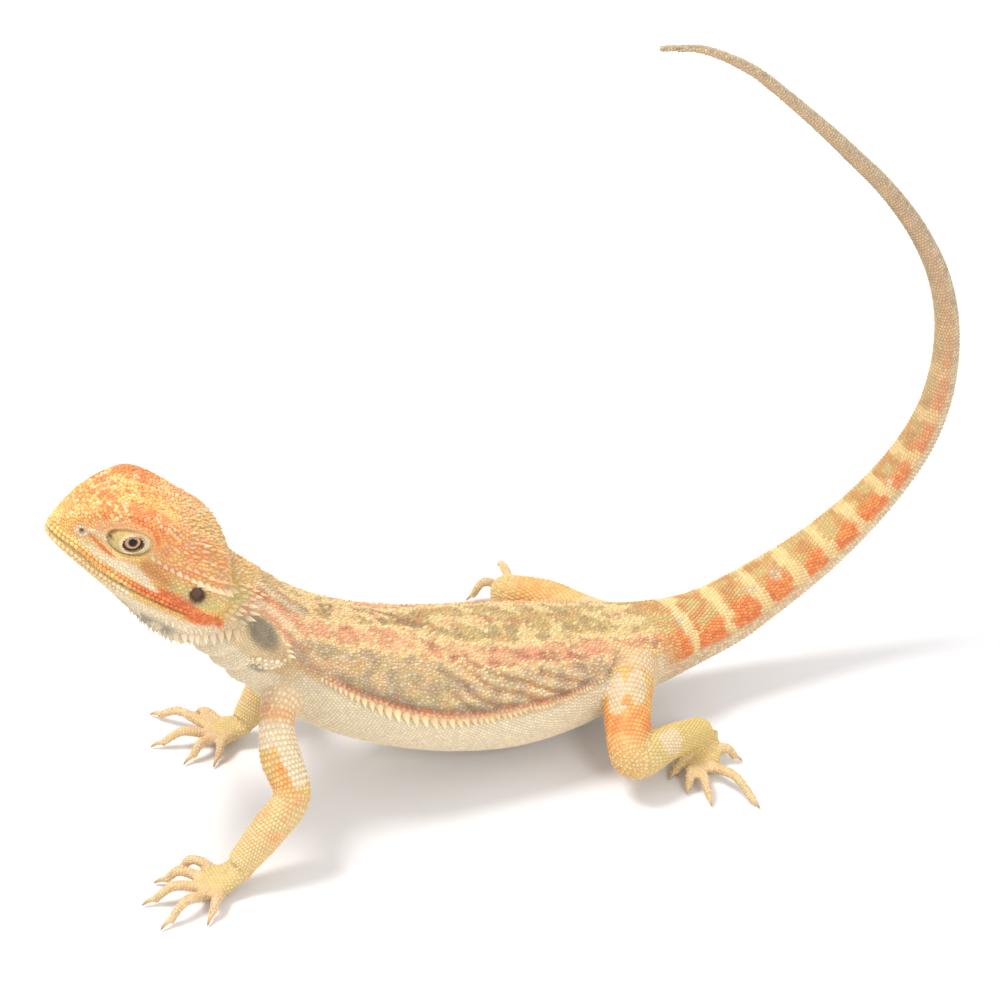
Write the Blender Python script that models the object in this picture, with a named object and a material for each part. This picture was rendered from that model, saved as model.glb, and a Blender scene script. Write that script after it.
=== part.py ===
"""A life-size bearded dragon (Pogona vitticeps), standing still with its head up and its tail raised.

The body is modelled in the animal's own directions, in millimetres: +X runs from head to tail, +Y is the
animal's right, +Z is up and the soles stand on Z = 0. It is lofted as a few tubes, fused into one solid, and
parted into named pieces by thin flat cuts. At the end everything is moved so that the middle of its box is
over the origin. MM turns the sizes into Blender's metres.
"""

import math

import bmesh
import bpy
import numpy as np
from mathutils import Matrix, Vector
from mathutils.bvhtree import BVHTree

MM = 0.001
GAP = 0.3  # clearance between neighbouring pieces
VOXEL = 0.75  # grain of the fused body
BODY_TRIANGLES = 4400
TUBE_SIDES = 28

# Head: the mouth line starts at HEAD_TIP and the head looks along its own axis from there.
HEAD_TIP = (-73.3, 7.9, 71.0)
HEAD_YAW = math.radians(6)
HEAD_PITCH = math.radians(31)
HEAD_ROLL = math.radians(3)
HEAD_LENGTH = 36

# Profiles of the head against the distance back from its tip: heights above the mouth line, and half widths.
# The canthus is the edge between the crown and the side of the face.
CROWN_HEIGHT = (
    (0, 2.8), (2, 7.6), (5, 11.3), (8, 13.2), (12, 14.4), (17, 14.6), (24, 14.2), (30, 13.2), (33, 11.6),
    (36, 8.8),
)
CANTHUS_WIDTH = (
    (0, 1.4), (2, 3.4), (5, 5.8), (8, 7.9), (12, 9.9), (17, 10.2), (24, 9.6), (30, 9.4), (36, 8.0),
)
CANTHUS_HEIGHT = (
    (0, 2.6), (2, 6.8), (5, 10.2), (8, 12.1), (12, 13.5), (17, 13.7), (24, 12.8), (30, 11.6), (33, 10.2),
    (36, 7.8),
)
CHEEK_WIDTH = (
    (0, 1.4), (2, 3.4), (5, 5.2), (9, 6.9), (13, 8.7), (18, 10.8), (26, 14.0), (31, 14.6), (36, 13.0),
)
CHEEK_HEIGHT = ((0, 1.2), (5, 3.2), (13, 5.4), (18, 5.6), (26, 5.6), (39, 5.4))
LIP_WIDTH = (
    (0, 1.4), (2, 3.3), (5, 5.1), (9, 7.2), (13, 9.2), (18, 11.4), (26, 14.2), (31, 14.8), (36, 12.8),
)
JAW_WIDTH = (
    (0, 1.2), (2, 3.0), (5, 4.6), (9, 6.0), (13, 7.4), (18, 9.4), (26, 12.4), (31, 13.0), (36, 11.0),
)
JAW_HEIGHT = ((0, -0.8), (5, -2.0), (9, -3.0), (13, -4.0), (18, -5.2), (26, -7.0), (36, -7.6))
CHIN_HEIGHT = (
    (0, -1.3), (2, -2.0), (5, -3.2), (9, -4.5), (13, -5.7), (18, -7.5), (26, -10.8), (31, -12.2), (36, -12.2),
)
CROWN_BEND = 0.55  # how far out the crown starts to slope to the canthus, as a share of its width
CHIN_BEND = 0.5  # how far out the chin is still nearly flat, as a share of the jaw's width
CHIN_FULLNESS = 0.75  # how much of the way from jaw to chin it has dropped there

EYE_RADIUS = 3.8
EYE_BACK, EYE_SIDE, EYE_UP = 13.4, 6.0, 8.0
EYE_SEGMENTS = 14
EAR_RADIUS = 1.6
EAR_BACK, EAR_SIDE, EAR_UP = 28.5, 13.6, 4.4
EAR_LEAN = 0.25  # how much the ear faces forward
EAR_DEPTH, EARDRUM_DEPTH, EARDRUM_THICKNESS = 1.6, 1.2, 0.6
JAW_HINGE_BACK = 29.0

# Neck, trunk and tail: place of the widest line (x, y, z), half width, height above and depth below it.
SPINE = (
    (-49, 6.0, 57.0, 9.0, 7.0, 8.0),
    (-44, 5.2, 52.0, 10.7, 8.7, 9.9),
    (-39.5, 4.3, 47.2, 11.6, 9.3, 10.5),
    (-35, 3.3, 42.6, 12.3, 9.6, 11.0),
    (-30.5, 2.3, 38.3, 13.2, 10.1, 11.8),
    (-25, 1.4, 34.2, 14.3, 10.7, 12.9),
    (-17, 0.5, 29.3, 15.8, 11.5, 14.2),
    (-7, 0.0, 25.0, 17.0, 12.0, 15.2),
    (6, 0.0, 21.0, 18.0, 12.2, 16.2),
    (20, 0.0, 18.8, 18.0, 11.6, 16.5),
    (32, 0.0, 17.6, 16.2, 10.2, 14.6),
    (43, 0.2, 16.8, 13.0, 8.8, 12.0),
    (54, 1.0, 15.8, 10.0, 7.9, 9.1),
    (64, 1.9, 15.9, 7.9, 7.2, 7.7),
    (72.3, 2.3, 17.6, 7.2, 7.1, 7.1),
    (79.8, 2.7, 20.6, 6.6, 6.6, 6.6),
    (89.2, 3.2, 24.8, 5.9, 5.9, 5.9),
    (97.2, 3.6, 29.4, 5.4, 5.4, 5.4),
    (105.5, 3.8, 35.8, 4.85, 4.85, 4.85),
    (112, 3.6, 42.7, 4.4, 4.4, 4.4),
    (117.3, 3.2, 50.9, 3.95, 3.95, 3.95),
    (120.5, 2.8, 60.0, 3.5, 3.5, 3.5),
    (121.6, 2.5, 69.7, 3.1, 3.1, 3.1),
    (120.9, 2.2, 79.7, 2.8, 2.8, 2.8),
    (118.2, 2.0, 89.8, 2.55, 2.55, 2.55),
    (113.4, 2.0, 99.8, 2.3, 2.3, 2.3),
    (104.9, 2.0, 111.9, 2.05, 2.05, 2.05),
    (94.0, 2.2, 123.6, 1.8, 1.8, 1.8),
    (82.4, 2.4, 135.0, 1.5, 1.5, 1.5),
    (70.2, 2.8, 145.4, 1.25, 1.25, 1.25),
    (60.8, 3.0, 150.2, 1.0, 1.0, 1.0),
    (52.0, 3.2, 151.6, 0.75, 0.75, 0.75),
)
FLANK_SQUARENESS = 2.15  # 2 is an ellipse
SPINE_STEP = 1.5

# Limbs: (x, y, z, half width) inside the body, at the shoulder or hip, midway down the upper limb, at the
# elbow or knee, midway down the lower limb, and at the wrist or ankle.
LIMBS = {
    "left_arm": (
        (-31, -7, 31.5, 5.2), (-35.4, -13.5, 28.6, 3.9), (-36.4, -18.5, 23.6, 4.4),
        (-35.9, -23.6, 17.4, 4.0), (-41.5, -25, 11.5, 4.0), (-48.2, -26, 5.2, 3.3),
    ),
    "right_arm": (
        (-31, 7, 31.5, 5.2), (-30, 13.5, 28.6, 3.9), (-27, 20, 24, 4.3),
        (-23, 25.6, 19, 4.0), (-27, 22.4, 12, 4.0), (-32.6, 19.8, 5.2, 3.3),
    ),
    "left_leg": (
        (45, -6, 16.5, 6.8), (41.8, -13, 16, 6.0), (37.9, -22, 12.5, 5.0),
        (36.2, -28.4, 9.4, 4.6), (46, -25.2, 8.6, 3.9), (56.2, -20.6, 5.6, 3.3),
    ),
    "right_leg": (
        (45, 6, 16.5, 6.8), (41.4, 12.5, 17, 6.0), (36.4, 21, 18.2, 4.7),
        (30.8, 26, 18, 4.3), (36.5, 32, 12.4, 4.4), (44.2, 38.2, 5.6, 3.5),
    ),
}

# Cuts across the spine: the row of SPINE where each lies and half the side of its plate.
SPINE_CUTS = {
    "neck": (2, 19), "trunk": (4, 19),
    "tail_1": (12, 13), "tail_2": (16, 9), "tail_3": (20, 8), "tail_4": (24, 7), "tail_5": (27, 6),
}
# Cuts across a limb: how far the top one lies from the shoulder or hip to midway down the upper limb, how far
# the last one lies from the limb to the middle of its palm, and half the sides of the plates at the top, at the
# elbow or knee, and at the wrist or ankle.
LIMB_CUTS = {
    "left_arm": (0.35, 0.5, 7.0, 6.5, 6.0),
    "right_arm": (0.70, 0.5, 7.0, 6.5, 6.0),
    "left_leg": (0.85, 0.72, 8.0, 12.0, 9.0),
    "right_leg": (0.85, 0.5, 8.0, 12.0, 8.0),
}
TOP_CUT_TURN = (0.25, 1, 0.5)  # turns the top cut from square across the limb to nearly along the flank
LIMB_PIECES = {"arm": ("upper_arm", "forearm", "hand"), "leg": ("thigh", "shin", "foot")}

# Hands and feet: the wrist or ankle, the middle of the palm, and each digit's root, highest point and tip.
PAW_HALF_WIDTH, PAW_HALF_HEIGHT = 4.4, 2.5
# Half widths along the palm: how far from the wrist, as a share of the way to the palm's middle, and how wide.
PALM_SECTIONS = ((-0.2, 3.4), (0.5, 4.0), (1.0, PAW_HALF_WIDTH), (1.45, 2.7))
DIGIT_START = 0.45  # how far inside the palm a digit starts, as a share of the way from its root
FEET = {
    "left_hand": (
        (-48.2, -26, 4.2), (-54, -26.2, 2.15),
        ((-53.0, -22.8, 2.6), (-56.2, -19.2, 4.0), (-58.2, -18.0, 1.0)),
        ((-55.6, -24.0, 2.6), (-59.6, -21.4, 3.8), (-62.2, -20.2, 1.0)),
        ((-56.8, -26.2, 2.6), (-61.8, -25.6, 3.8), (-66.0, -25.2, 1.0)),
        ((-56.2, -28.6, 2.6), (-61.4, -31.2, 3.8), (-64.8, -32.6, 1.0)),
        ((-53.6, -29.6, 2.6), (-55.2, -32.4, 3.4), (-56.6, -34.0, 1.0)),
    ),
    "right_hand": (
        (-32.6, 19.8, 4.2), (-37.2, 21.8, 2.15),
        ((-36.6, 19.0, 2.6), (-39.0, 16.0, 3.6), (-40.6, 14.2, 1.0)),
        ((-39.2, 19.4, 2.6), (-43.0, 17.6, 3.8), (-45.6, 16.6, 1.0)),
        ((-40.4, 21.6, 2.6), (-45.8, 22.8, 3.8), (-50.2, 23.8, 1.0)),
        ((-39.8, 24.4, 2.6), (-44.4, 30.2, 3.8), (-47.8, 34.0, 1.0)),
        ((-37.2, 25.2, 2.6), (-39.2, 28.8, 3.4), (-40.4, 30.8, 1.0)),
    ),
    "left_foot": (
        (56.2, -20.6, 4.4), (53.6, -25.6, 2.15),
        ((51.0, -25.4, 2.6), (48.2, -26.2, 3.0), (46.6, -26.8, 1.0)),
        ((50.4, -27.8, 2.6), (48.4, -30.8, 3.6), (47.4, -32.2, 1.0)),
        ((51.6, -29.2, 2.6), (50.2, -34.0, 3.8), (49.8, -37.4, 1.0)),
        ((54.2, -29.0, 2.6), (56.6, -35.4, 3.8), (58.2, -41.6, 1.0)),
        ((57.0, -24.2, 2.6), (59.4, -25.6, 3.6), (61.2, -26.6, 1.0)),
    ),
    "right_foot": (
        (44.2, 38.2, 4.4), (42.6, 44.0, 2.15),
        ((39.6, 42.8, 2.6), (37.6, 41.6, 3.0), (36.0, 41.0, 1.0)),
        ((39.2, 44.8, 2.6), (36.0, 45.0, 3.4), (34.0, 45.2, 1.0)),
        ((39.2, 47.4, 2.8), (34.4, 50.2, 5.2), (31.6, 50.8, 1.2)),
        ((41.2, 48.4, 2.6), (41.6, 55.2, 4.0), (43.0, 61.4, 1.2)),
        ((45.2, 43.2, 2.6), (48.4, 45.4, 3.8), (50.2, 46.6, 1.2)),
    ),
}
TOE_ROOT_RADIUS, TOE_TIP_RADIUS = 1.3, 1.05
CLAW_LENGTH, CLAW_ARCH = 2.8, 0.5
CLAW_ROOT_RADIUS, CLAW_MIDDLE_RADIUS, CLAW_TIP_RADIUS = 0.65, 0.5, 0.26
CLAW_TIP_HEIGHT = 0.4
CLAW_SIDES = 6
CLAW_ROOM = 2.0  # radius and depth of the flat hollow that a digit ends at
TOE_END_SLOPE = 0.3  # how much of a digit's downward slope its flat end keeps

ORANGE = (0.80, 0.33, 0.10)
SAND = (0.60, 0.45, 0.24)
YELLOW = (0.78, 0.60, 0.25)
CREAM = (0.76, 0.68, 0.52)
AMBER = (0.30, 0.15, 0.06)
DARK = (0.03, 0.02, 0.015)
SKIN_ROUGHNESS = 0.75
SHARP_EDGE = math.radians(50)


def profile(points, x):
    """A smooth curve through a few (x, value) points, read at x."""
    xs, values = np.array(points, float).T
    slopes = np.gradient(values, xs)
    i = int(np.clip(np.searchsorted(xs, x) - 1, 0, len(xs) - 2))
    width = xs[i + 1] - xs[i]
    t = np.clip((x - xs[i]) / width, 0, 1)
    start = (1 + 2 * t) * (1 - t) ** 2 * values[i] + t * (1 - t) ** 2 * width * slopes[i]
    end = t * t * (3 - 2 * t) * values[i + 1] - t * t * (1 - t) * width * slopes[i + 1]
    return start + end


def smooth_rows(rows, step):
    """Rows of numbers along the smooth curve through the given ones, about step apart along x, y, z."""
    rows = np.array(rows, float)
    reach = np.concatenate([[0], np.cumsum(np.linalg.norm(np.diff(rows[:, :3], axis=0), axis=1))])
    count = max(3, int(round(reach[-1] / step)) + 1)
    columns = [tuple(zip(reach, column)) for column in rows.T]
    return np.array([[profile(column, s) for column in columns] for s in np.linspace(0, reach[-1], count)])


def frames(path, side_hint):
    """Side and up directions along a path, turning as little as they can from the hint at its start."""
    tangents = np.gradient(path, axis=0)
    tangents /= np.linalg.norm(tangents, axis=1)[:, None]
    side = np.array(side_hint, float)
    sides = []
    for tangent in tangents:
        side = side - tangent * (side @ tangent)
        side = side / np.linalg.norm(side)
        sides.append(side)
    sides = np.array(sides)
    return sides, np.cross(sides, tangents)


def superellipse(angle, squareness):
    """A point of a closed curve one unit across, square to the given degree."""
    power = 2 / squareness
    c, s = math.cos(angle), math.sin(angle)
    return math.copysign(abs(c) ** power, c), math.copysign(abs(s) ** power, s)


def tube(rings):
    """One closed tube through the rings, its ends filled."""
    rings = np.array(rings)
    last, sides = len(rings) - 1, rings.shape[1]
    bm = bmesh.new()
    bmesh.ops.create_grid(bm, x_segments=last, y_segments=sides, size=0.5)
    for vert in bm.verts:
        i = round((vert.co.x + 0.5) * last)
        j = round((vert.co.y + 0.5) * sides) % sides
        vert.co = rings[i, j] * MM
    bmesh.ops.remove_doubles(bm, verts=bm.verts, dist=1e-6)
    bmesh.ops.holes_fill(bm, edges=bm.edges, sides=0)
    bmesh.ops.recalc_face_normals(bm, faces=bm.faces)
    return bm


def round_tube(stations, step, side_hint=(0, -1, 0), flatness=1.0, corners=TUBE_SIDES):
    """A tube along (x, y, z, radius) stations, its height flatness times its width."""
    rows = smooth_rows(stations, step)
    sides, ups = frames(rows[:, :3], side_hint)
    rings = []
    for row, side, up in zip(rows, sides, ups):
        turns = np.arange(corners) * 2 * math.pi / corners
        rings.append([row[:3] + row[3] * (math.cos(a) * side + flatness * math.sin(a) * up) for a in turns])
    return tube(rings)


def head_axes():
    """The head's forward, left and up directions."""
    turn = Matrix.Rotation(-HEAD_YAW, 3, "Z") @ Matrix.Rotation(HEAD_PITCH, 3, "Y")
    forward, left, up = turn @ Vector((-1, 0, 0)), turn @ Vector((0, -1, 0)), turn @ Vector((0, 0, 1))
    roll = Matrix.Rotation(-HEAD_ROLL, 3, forward)
    return np.array(forward), np.array(roll @ left), np.array(roll @ up)


def head_point(back, left, up):
    """A point of the head, measured back, left and up from the front of the mouth line."""
    forward, side, top = head_axes()
    return np.array(HEAD_TIP) - back * forward + left * side + up * top


def head_outline(back):
    """Half a section of the head, from the crown's middle down to the chin: (half width, height)."""
    crown, canthus_height = profile(CROWN_HEIGHT, back), profile(CANTHUS_HEIGHT, back)
    jaw, chin = profile(JAW_HEIGHT, back), profile(CHIN_HEIGHT, back)
    canthus, jaw_width = profile(CANTHUS_WIDTH, back), profile(JAW_WIDTH, back)
    return (
        (0, crown),
        (CROWN_BEND * canthus, 0.5 * (crown + canthus_height)),
        (canthus, canthus_height),
        (profile(CHEEK_WIDTH, back), profile(CHEEK_HEIGHT, back)),
        (profile(LIP_WIDTH, back), 0),
        (jaw_width, jaw),
        (CHIN_BEND * jaw_width, jaw + CHIN_FULLNESS * (chin - jaw)),
        (0, chin),
    )


def head_ring(back):
    """The whole section there, as a smooth closed curve through the outline and its mirror image."""
    half = head_outline(back)
    outline = [*half, *[(-x, y) for x, y in reversed(half[1:-1])]]
    count = len(outline)
    extra = 2  # points repeated at each end, so that the curve closes smoothly
    rounds = [*outline[-extra:], *outline, *outline[: extra + 1]]
    across = [(i - extra, point[0]) for i, point in enumerate(rounds)]
    upward = [(i - extra, point[1]) for i, point in enumerate(rounds)]
    ring = []
    for k in range(TUBE_SIDES * 2):
        at = k * count / (TUBE_SIDES * 2)
        ring.append(head_point(back, profile(across, at), profile(upward, at)))
    return ring


def head_solid():
    snout = [0, 0.4]
    return tube([head_ring(back) for back in [*snout, *range(1, HEAD_LENGTH + 1)]])


def spine_solid():
    rows = smooth_rows(SPINE, SPINE_STEP)
    sides, ups = frames(rows[:, :3], (0, -1, 0))
    rings = []
    for row, side, up in zip(rows, sides, ups):
        ring = []
        for a in np.arange(2 * TUBE_SIDES) * math.pi / TUBE_SIDES:
            c, s = superellipse(a, FLANK_SQUARENESS)
            ring.append(row[:3] + row[3] * c * side + (row[4] if s > 0 else row[5]) * s * up)
        rings.append(ring)
    return tube(rings)


def digit_stations(root, top, tip):
    radii = (TOE_ROOT_RADIUS, 0.5 * (TOE_ROOT_RADIUS + TOE_TIP_RADIUS), TOE_TIP_RADIUS)
    return [(*place, radius) for place, radius in zip((root, top, tip), radii)]


def paw_solids(wrist, palm, digits):
    """The palm, as a flat tube from the wrist past the palm's middle, and its digits."""
    wrist, palm = np.array(wrist, float), np.array(palm, float)
    reach = palm - wrist
    flatness = PAW_HALF_HEIGHT / PAW_HALF_WIDTH
    side = np.cross(reach, (0, 0, 1))
    stations = [(*(wrist + share * reach), half_width) for share, half_width in PALM_SECTIONS]
    solids = [round_tube(stations, 0.8, side, flatness)]
    for root, top, tip in digits:
        start = DIGIT_START * palm + (1 - DIGIT_START) * np.array(root)
        solids.append(round_tube([(*start, TOE_ROOT_RADIUS), *digit_stations(root, top, tip)], 0.7))
    return solids


def join(name, parts):
    """One object holding all the given bmeshes, each still its own shell."""
    mesh = bpy.data.meshes.new(name)
    whole = bmesh.new()
    for part in parts:
        part.to_mesh(mesh)
        whole.from_mesh(mesh)
        part.free()
    whole.to_mesh(mesh)
    whole.free()
    obj = bpy.data.objects.new(name, mesh)
    bpy.context.scene.collection.objects.link(obj)
    return obj


def apply_modifiers(obj):
    """Puts the shape that the modifiers give into the object's own mesh."""
    graph = bpy.context.evaluated_depsgraph_get()
    mesh = bpy.data.meshes.new_from_object(obj.evaluated_get(graph))
    obj.modifiers.clear()
    obj.data = mesh


def add_modifier(obj, kind, **settings):
    modifier = obj.modifiers.new(kind.title(), kind)
    for key, value in settings.items():
        setattr(modifier, key, value)


def fused_body():
    """All the flesh as one solid, smoothed where its tubes meet."""
    parts = [head_solid(), spine_solid()]
    parts += [round_tube(stations, 1.0) for stations in LIMBS.values()]
    for wrist, palm, *digits in FEET.values():
        parts += paw_solids(wrist, palm, digits)
    body = join("body", parts)
    add_modifier(body, "REMESH", mode="VOXEL", voxel_size=VOXEL * MM)
    add_modifier(body, "SMOOTH", factor=0.5, iterations=3)
    apply_modifiers(body)
    triangles = 2 * len(body.data.polygons)
    add_modifier(body, "DECIMATE", ratio=BODY_TRIANGLES / triangles, use_collapse_triangulate=True)
    apply_modifiers(body)
    return body


def slab(centre, normal, half_size, thickness=GAP):
    """A thin square plate, for a cut across centre."""
    bm = bmesh.new()
    turn = Vector(normal).to_track_quat("Z", "Y").to_matrix().to_4x4()
    size = Matrix.Diagonal((2 * half_size * MM, 2 * half_size * MM, thickness * MM, 1))
    place = Matrix.Translation(Vector(centre) * MM)
    bmesh.ops.create_cube(bm, size=1, matrix=place @ turn @ size)
    return bm


def head_box(low, high):
    """A box between two corners given in the head's own directions."""
    forward, left, up = (Vector(axis) for axis in head_axes())
    turn = Matrix((-forward, left, up)).transposed().to_4x4()
    middle = [0.5 * (a + b) for a, b in zip(low, high)]
    size = Matrix.Diagonal([abs(b - a) * MM for a, b in zip(low, high)] + [1])
    place = Matrix.Translation(Vector(head_point(*middle)) * MM)
    bm = bmesh.new()
    bmesh.ops.create_cube(bm, size=1, matrix=place @ turn @ size)
    bmesh.ops.recalc_face_normals(bm, faces=bm.faces)
    return bm


def between(a, b, share):
    return Vector(a[:3]).lerp(Vector(b[:3]), share)


def direction(a, b):
    return Vector(b[:3]) - Vector(a[:3])


def nearest_on_line(point, a, b):
    """The place on the straight line from a to b that is nearest to the point."""
    share = direction(a, point).dot(direction(a, b)) / direction(a, b).length_squared
    return between(a, b, min(1, max(0, share)))


def cut(body, parts):
    """Takes the given shapes away from the body."""
    cutter = join("cutter", parts)
    add_modifier(body, "BOOLEAN", operation="DIFFERENCE", solver="EXACT", object=cutter)
    apply_modifiers(body)
    bpy.data.objects.remove(cutter)


def sphere(centre, radius):
    bm = bmesh.new()
    place = Matrix.Translation(Vector(centre) * MM)
    bmesh.ops.create_uvsphere(
        bm, u_segments=EYE_SEGMENTS, v_segments=EYE_SEGMENTS // 2 + 2, radius=radius * MM, matrix=place
    )
    return bm


def disc(start, end, radius, segments=16):
    """A closed cylinder between two points."""
    start, end = Vector(start) * MM, Vector(end) * MM
    turn = (end - start).to_track_quat("Z", "Y").to_matrix().to_4x4()
    bm = bmesh.new()
    place = Matrix.Translation(0.5 * (start + end)) @ turn
    bmesh.ops.create_cone(bm, cap_ends=True, segments=segments, radius1=radius * MM, radius2=radius * MM,
                          depth=(end - start).length, matrix=place)
    return bm


def eye_centre(side):
    return head_point(EYE_BACK, side * EYE_SIDE, EYE_UP)


def ear_point(side, out):
    """A point on the line out through the middle of an ear."""
    return head_point(EAR_BACK - EAR_LEAN * out, side * (EAR_SIDE + out), EAR_UP)


def toe_end(top, tip, near, far):
    """Two points beyond a digit's tip, near and far along the way its end faces."""
    tip = Vector(tip)
    ahead = (tip - Vector(top)) * Vector((1, 1, TOE_END_SLOPE))
    ahead.normalize()
    return tip + near * ahead, tip + far * ahead


def spine_plates():
    """A plate across the neck, trunk and tail at each of their cuts."""
    places = [row[:3] for row in SPINE]
    plates = []
    for index, half_size in SPINE_CUTS.values():
        plates.append(slab(places[index], direction(places[index - 1], places[index + 1]), half_size))
    return plates


def limb_plates():
    """Plates across each limb at the shoulder or hip, the elbow or knee, and the wrist or ankle."""
    plates = []
    for name, (_, shoulder, upper, elbow, lower, wrist) in LIMBS.items():
        side, kind = name.split("_")
        top_share, paw_share, top_size, bend_size, paw_size = LIMB_CUTS[name]
        outward = direction(shoulder, upper) * Vector(TOP_CUT_TURN)
        plates.append(slab(between(shoulder, upper, top_share), outward, top_size))
        bend = direction(upper, elbow).normalized() + direction(elbow, lower).normalized()
        plates.append(slab(elbow[:3], bend, bend_size))
        palm = FEET[f"{side}_{LIMB_PIECES[kind][2]}"][1]
        nearest = nearest_on_line(palm, lower, wrist)
        plates.append(slab(between(nearest, palm, paw_share), direction(nearest, palm), paw_size))
    return plates


def organ_hollows():
    """Room for the claws in front of the digits, and the sockets of the eyes and ears."""
    hollows = []
    for _, _, *digits in FEET.values():
        hollows += [disc(*toe_end(top, tip, 0, CLAW_ROOM), CLAW_ROOM) for _, top, tip in digits]
    for side in (1, -1):
        hollows.append(sphere(eye_centre(side), EYE_RADIUS + GAP))
        hollows.append(disc(ear_point(side, -EAR_DEPTH), ear_point(side, EAR_DEPTH), EAR_RADIUS + GAP))
    return hollows


def ground():
    """A block whose top is the floor, wider than the animal."""
    block = bmesh.new()
    place = Matrix.Translation((0, 0, -10 * MM)) @ Matrix.Diagonal((0.4, 0.4, 20 * MM, 1))
    bmesh.ops.create_cube(block, size=1, matrix=place)
    return block


def part_body(body):
    """Cuts the body where a person would name its parts, and makes room for the eyes, ears and claws."""
    mouth = head_box((-4, -20, -0.5 * GAP), (JAW_HINGE_BACK, 20, 0.5 * GAP))
    jaw_end = head_box((JAW_HINGE_BACK - GAP, -20, -18), (JAW_HINGE_BACK, 20, 0.5 * GAP))
    for plate in [*spine_plates(), *limb_plates(), mouth, jaw_end, ground()]:
        cut(body, [plate])
    cut(body, organ_hollows())


def loose_pieces(body):
    """The separate closed shells of the body, each in an object of its own."""
    whole = bmesh.new()
    whole.from_mesh(body.data)
    whole.verts.ensure_lookup_table()
    whole.verts.index_update()
    piece_of = {}
    count = 0
    for start in whole.verts:
        if start.index in piece_of:
            continue
        piece_of[start.index] = count
        front = [start]
        while front:
            vert = front.pop()
            for edge in vert.link_edges:
                other = edge.other_vert(vert)
                if other.index not in piece_of:
                    piece_of[other.index] = count
                    front.append(other)
        count += 1
    pieces = []
    for number in range(count):
        shell = whole.copy()
        shell.verts.ensure_lookup_table()
        others = [vert for vert in shell.verts if piece_of[vert.index] != number]
        bmesh.ops.delete(shell, geom=others, context="VERTS")
        pieces.append(shell)
    whole.free()
    return pieces


def inner_points():
    """A point on the centre line of each piece of flesh, by its name."""
    points = {"head": head_point(22, 0, 6), "lower_jaw": head_point(16, 0, -3)}
    rows = [index for index, _ in SPINE_CUTS.values()] + [len(SPINE) - 1]
    for name, first, last in zip(SPINE_CUTS, rows, rows[1:]):
        points[name] = SPINE[(first + last) // 2][:3]
    for name, (_, _, upper, _, lower, _) in LIMBS.items():
        side, kind = name.split("_")
        upper_name, lower_name, paw_name = LIMB_PIECES[kind]
        points[f"{side}_{upper_name}"] = upper[:3]
        points[f"{side}_{lower_name}"] = lower[:3]
        points[f"{side}_{paw_name}"] = FEET[f"{side}_{paw_name}"][1]
    return points


def encloses(shell, point):
    """True where a straight line from the point leaves the closed shell an odd number of times."""
    tree = BVHTree.FromBMesh(shell)
    ahead = Vector((0.31, 0.44, 0.84)).normalized()
    start = Vector(point) * MM
    crossings = 0
    hit = tree.ray_cast(start, ahead)[0]
    while hit is not None:
        crossings += 1
        hit = tree.ray_cast(hit + ahead * 1e-6, ahead)[0]
    return crossings % 2 == 1


def finish(name, bm, colour, roughness):
    """One named object from a bmesh, with its own material."""
    obj = join(name, [bm])
    material = bpy.data.materials.new(name)
    material.use_nodes = True
    shader = material.node_tree.nodes["Principled BSDF"]
    shader.inputs["Base Color"].default_value = (*colour, 1)
    shader.inputs["Roughness"].default_value = roughness
    shader.inputs["Metallic"].default_value = 0
    obj.data.materials.clear()
    obj.data.materials.append(material)
    obj.data.shade_smooth()
    obj.data.set_sharp_from_angle(angle=SHARP_EDGE)


def flesh_colour(name):
    if name == "head" or name.startswith("tail"):
        return ORANGE
    if name in ("neck", "trunk"):
        return SAND
    return CREAM if name == "lower_jaw" else YELLOW


def flesh_objects():
    """The head, jaw, neck, trunk, tail and limbs, each a named piece of the one fused body."""
    body = fused_body()
    part_body(body)
    shells = loose_pieces(body)
    bpy.data.objects.remove(body)
    points = inner_points()
    for shell in shells:
        names = [name for name, point in points.items() if encloses(shell, point)]
        if len(names) != 1:
            raise ValueError(f"a piece of the body holds {names} and not one named part")
        finish(names[0], shell, flesh_colour(names[0]), SKIN_ROUGHNESS)
        del points[names[0]]
    if points:
        raise ValueError(f"no piece of the body is {sorted(points)}")


def head_organs():
    """The eyeballs in their sockets and the eardrums at the bottom of the ears."""
    for name, side in (("left", 1), ("right", -1)):
        finish(f"{name}_eye", sphere(eye_centre(side), EYE_RADIUS), DARK, 0.1)
        back, front = ear_point(side, -EARDRUM_DEPTH), ear_point(side, EARDRUM_THICKNESS - EARDRUM_DEPTH)
        finish(f"{name}_eardrum", disc(back, front, EAR_RADIUS), DARK, 0.5)


def claws():
    """A curved claw, on its own, in front of each digit."""
    for paw, (_, _, *digits) in FEET.items():
        for number, (_, top, tip) in enumerate(digits, 1):
            root, end = toe_end(top, tip, GAP, GAP + CLAW_LENGTH)
            end.z = CLAW_TIP_HEIGHT
            middle = 0.5 * (root + end) + Vector((0, 0, CLAW_ARCH))
            stations = [(*root, CLAW_ROOT_RADIUS), (*middle, CLAW_MIDDLE_RADIUS), (*end, CLAW_TIP_RADIUS)]
            side = Vector((0, 0, 1)).cross(end - root)
            bm = round_tube(stations, CLAW_LENGTH / 4, side, 1.0, CLAW_SIDES)
            finish(f"{paw}_claw_{number}", bm, AMBER, 0.35)


def centre_on_origin():
    """Moves every mesh so that the middle of the whole model's box is over the origin."""
    corners = [obj.matrix_world @ Vector(c) for obj in bpy.data.objects for c in obj.bound_box]
    low = [min(c[i] for c in corners) for i in range(3)]
    high = [max(c[i] for c in corners) for i in range(3)]
    shift = Matrix.Translation((-0.5 * (low[0] + high[0]), -0.5 * (low[1] + high[1]), -low[2]))
    for obj in bpy.data.objects:
        obj.data.transform(shift)


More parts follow.
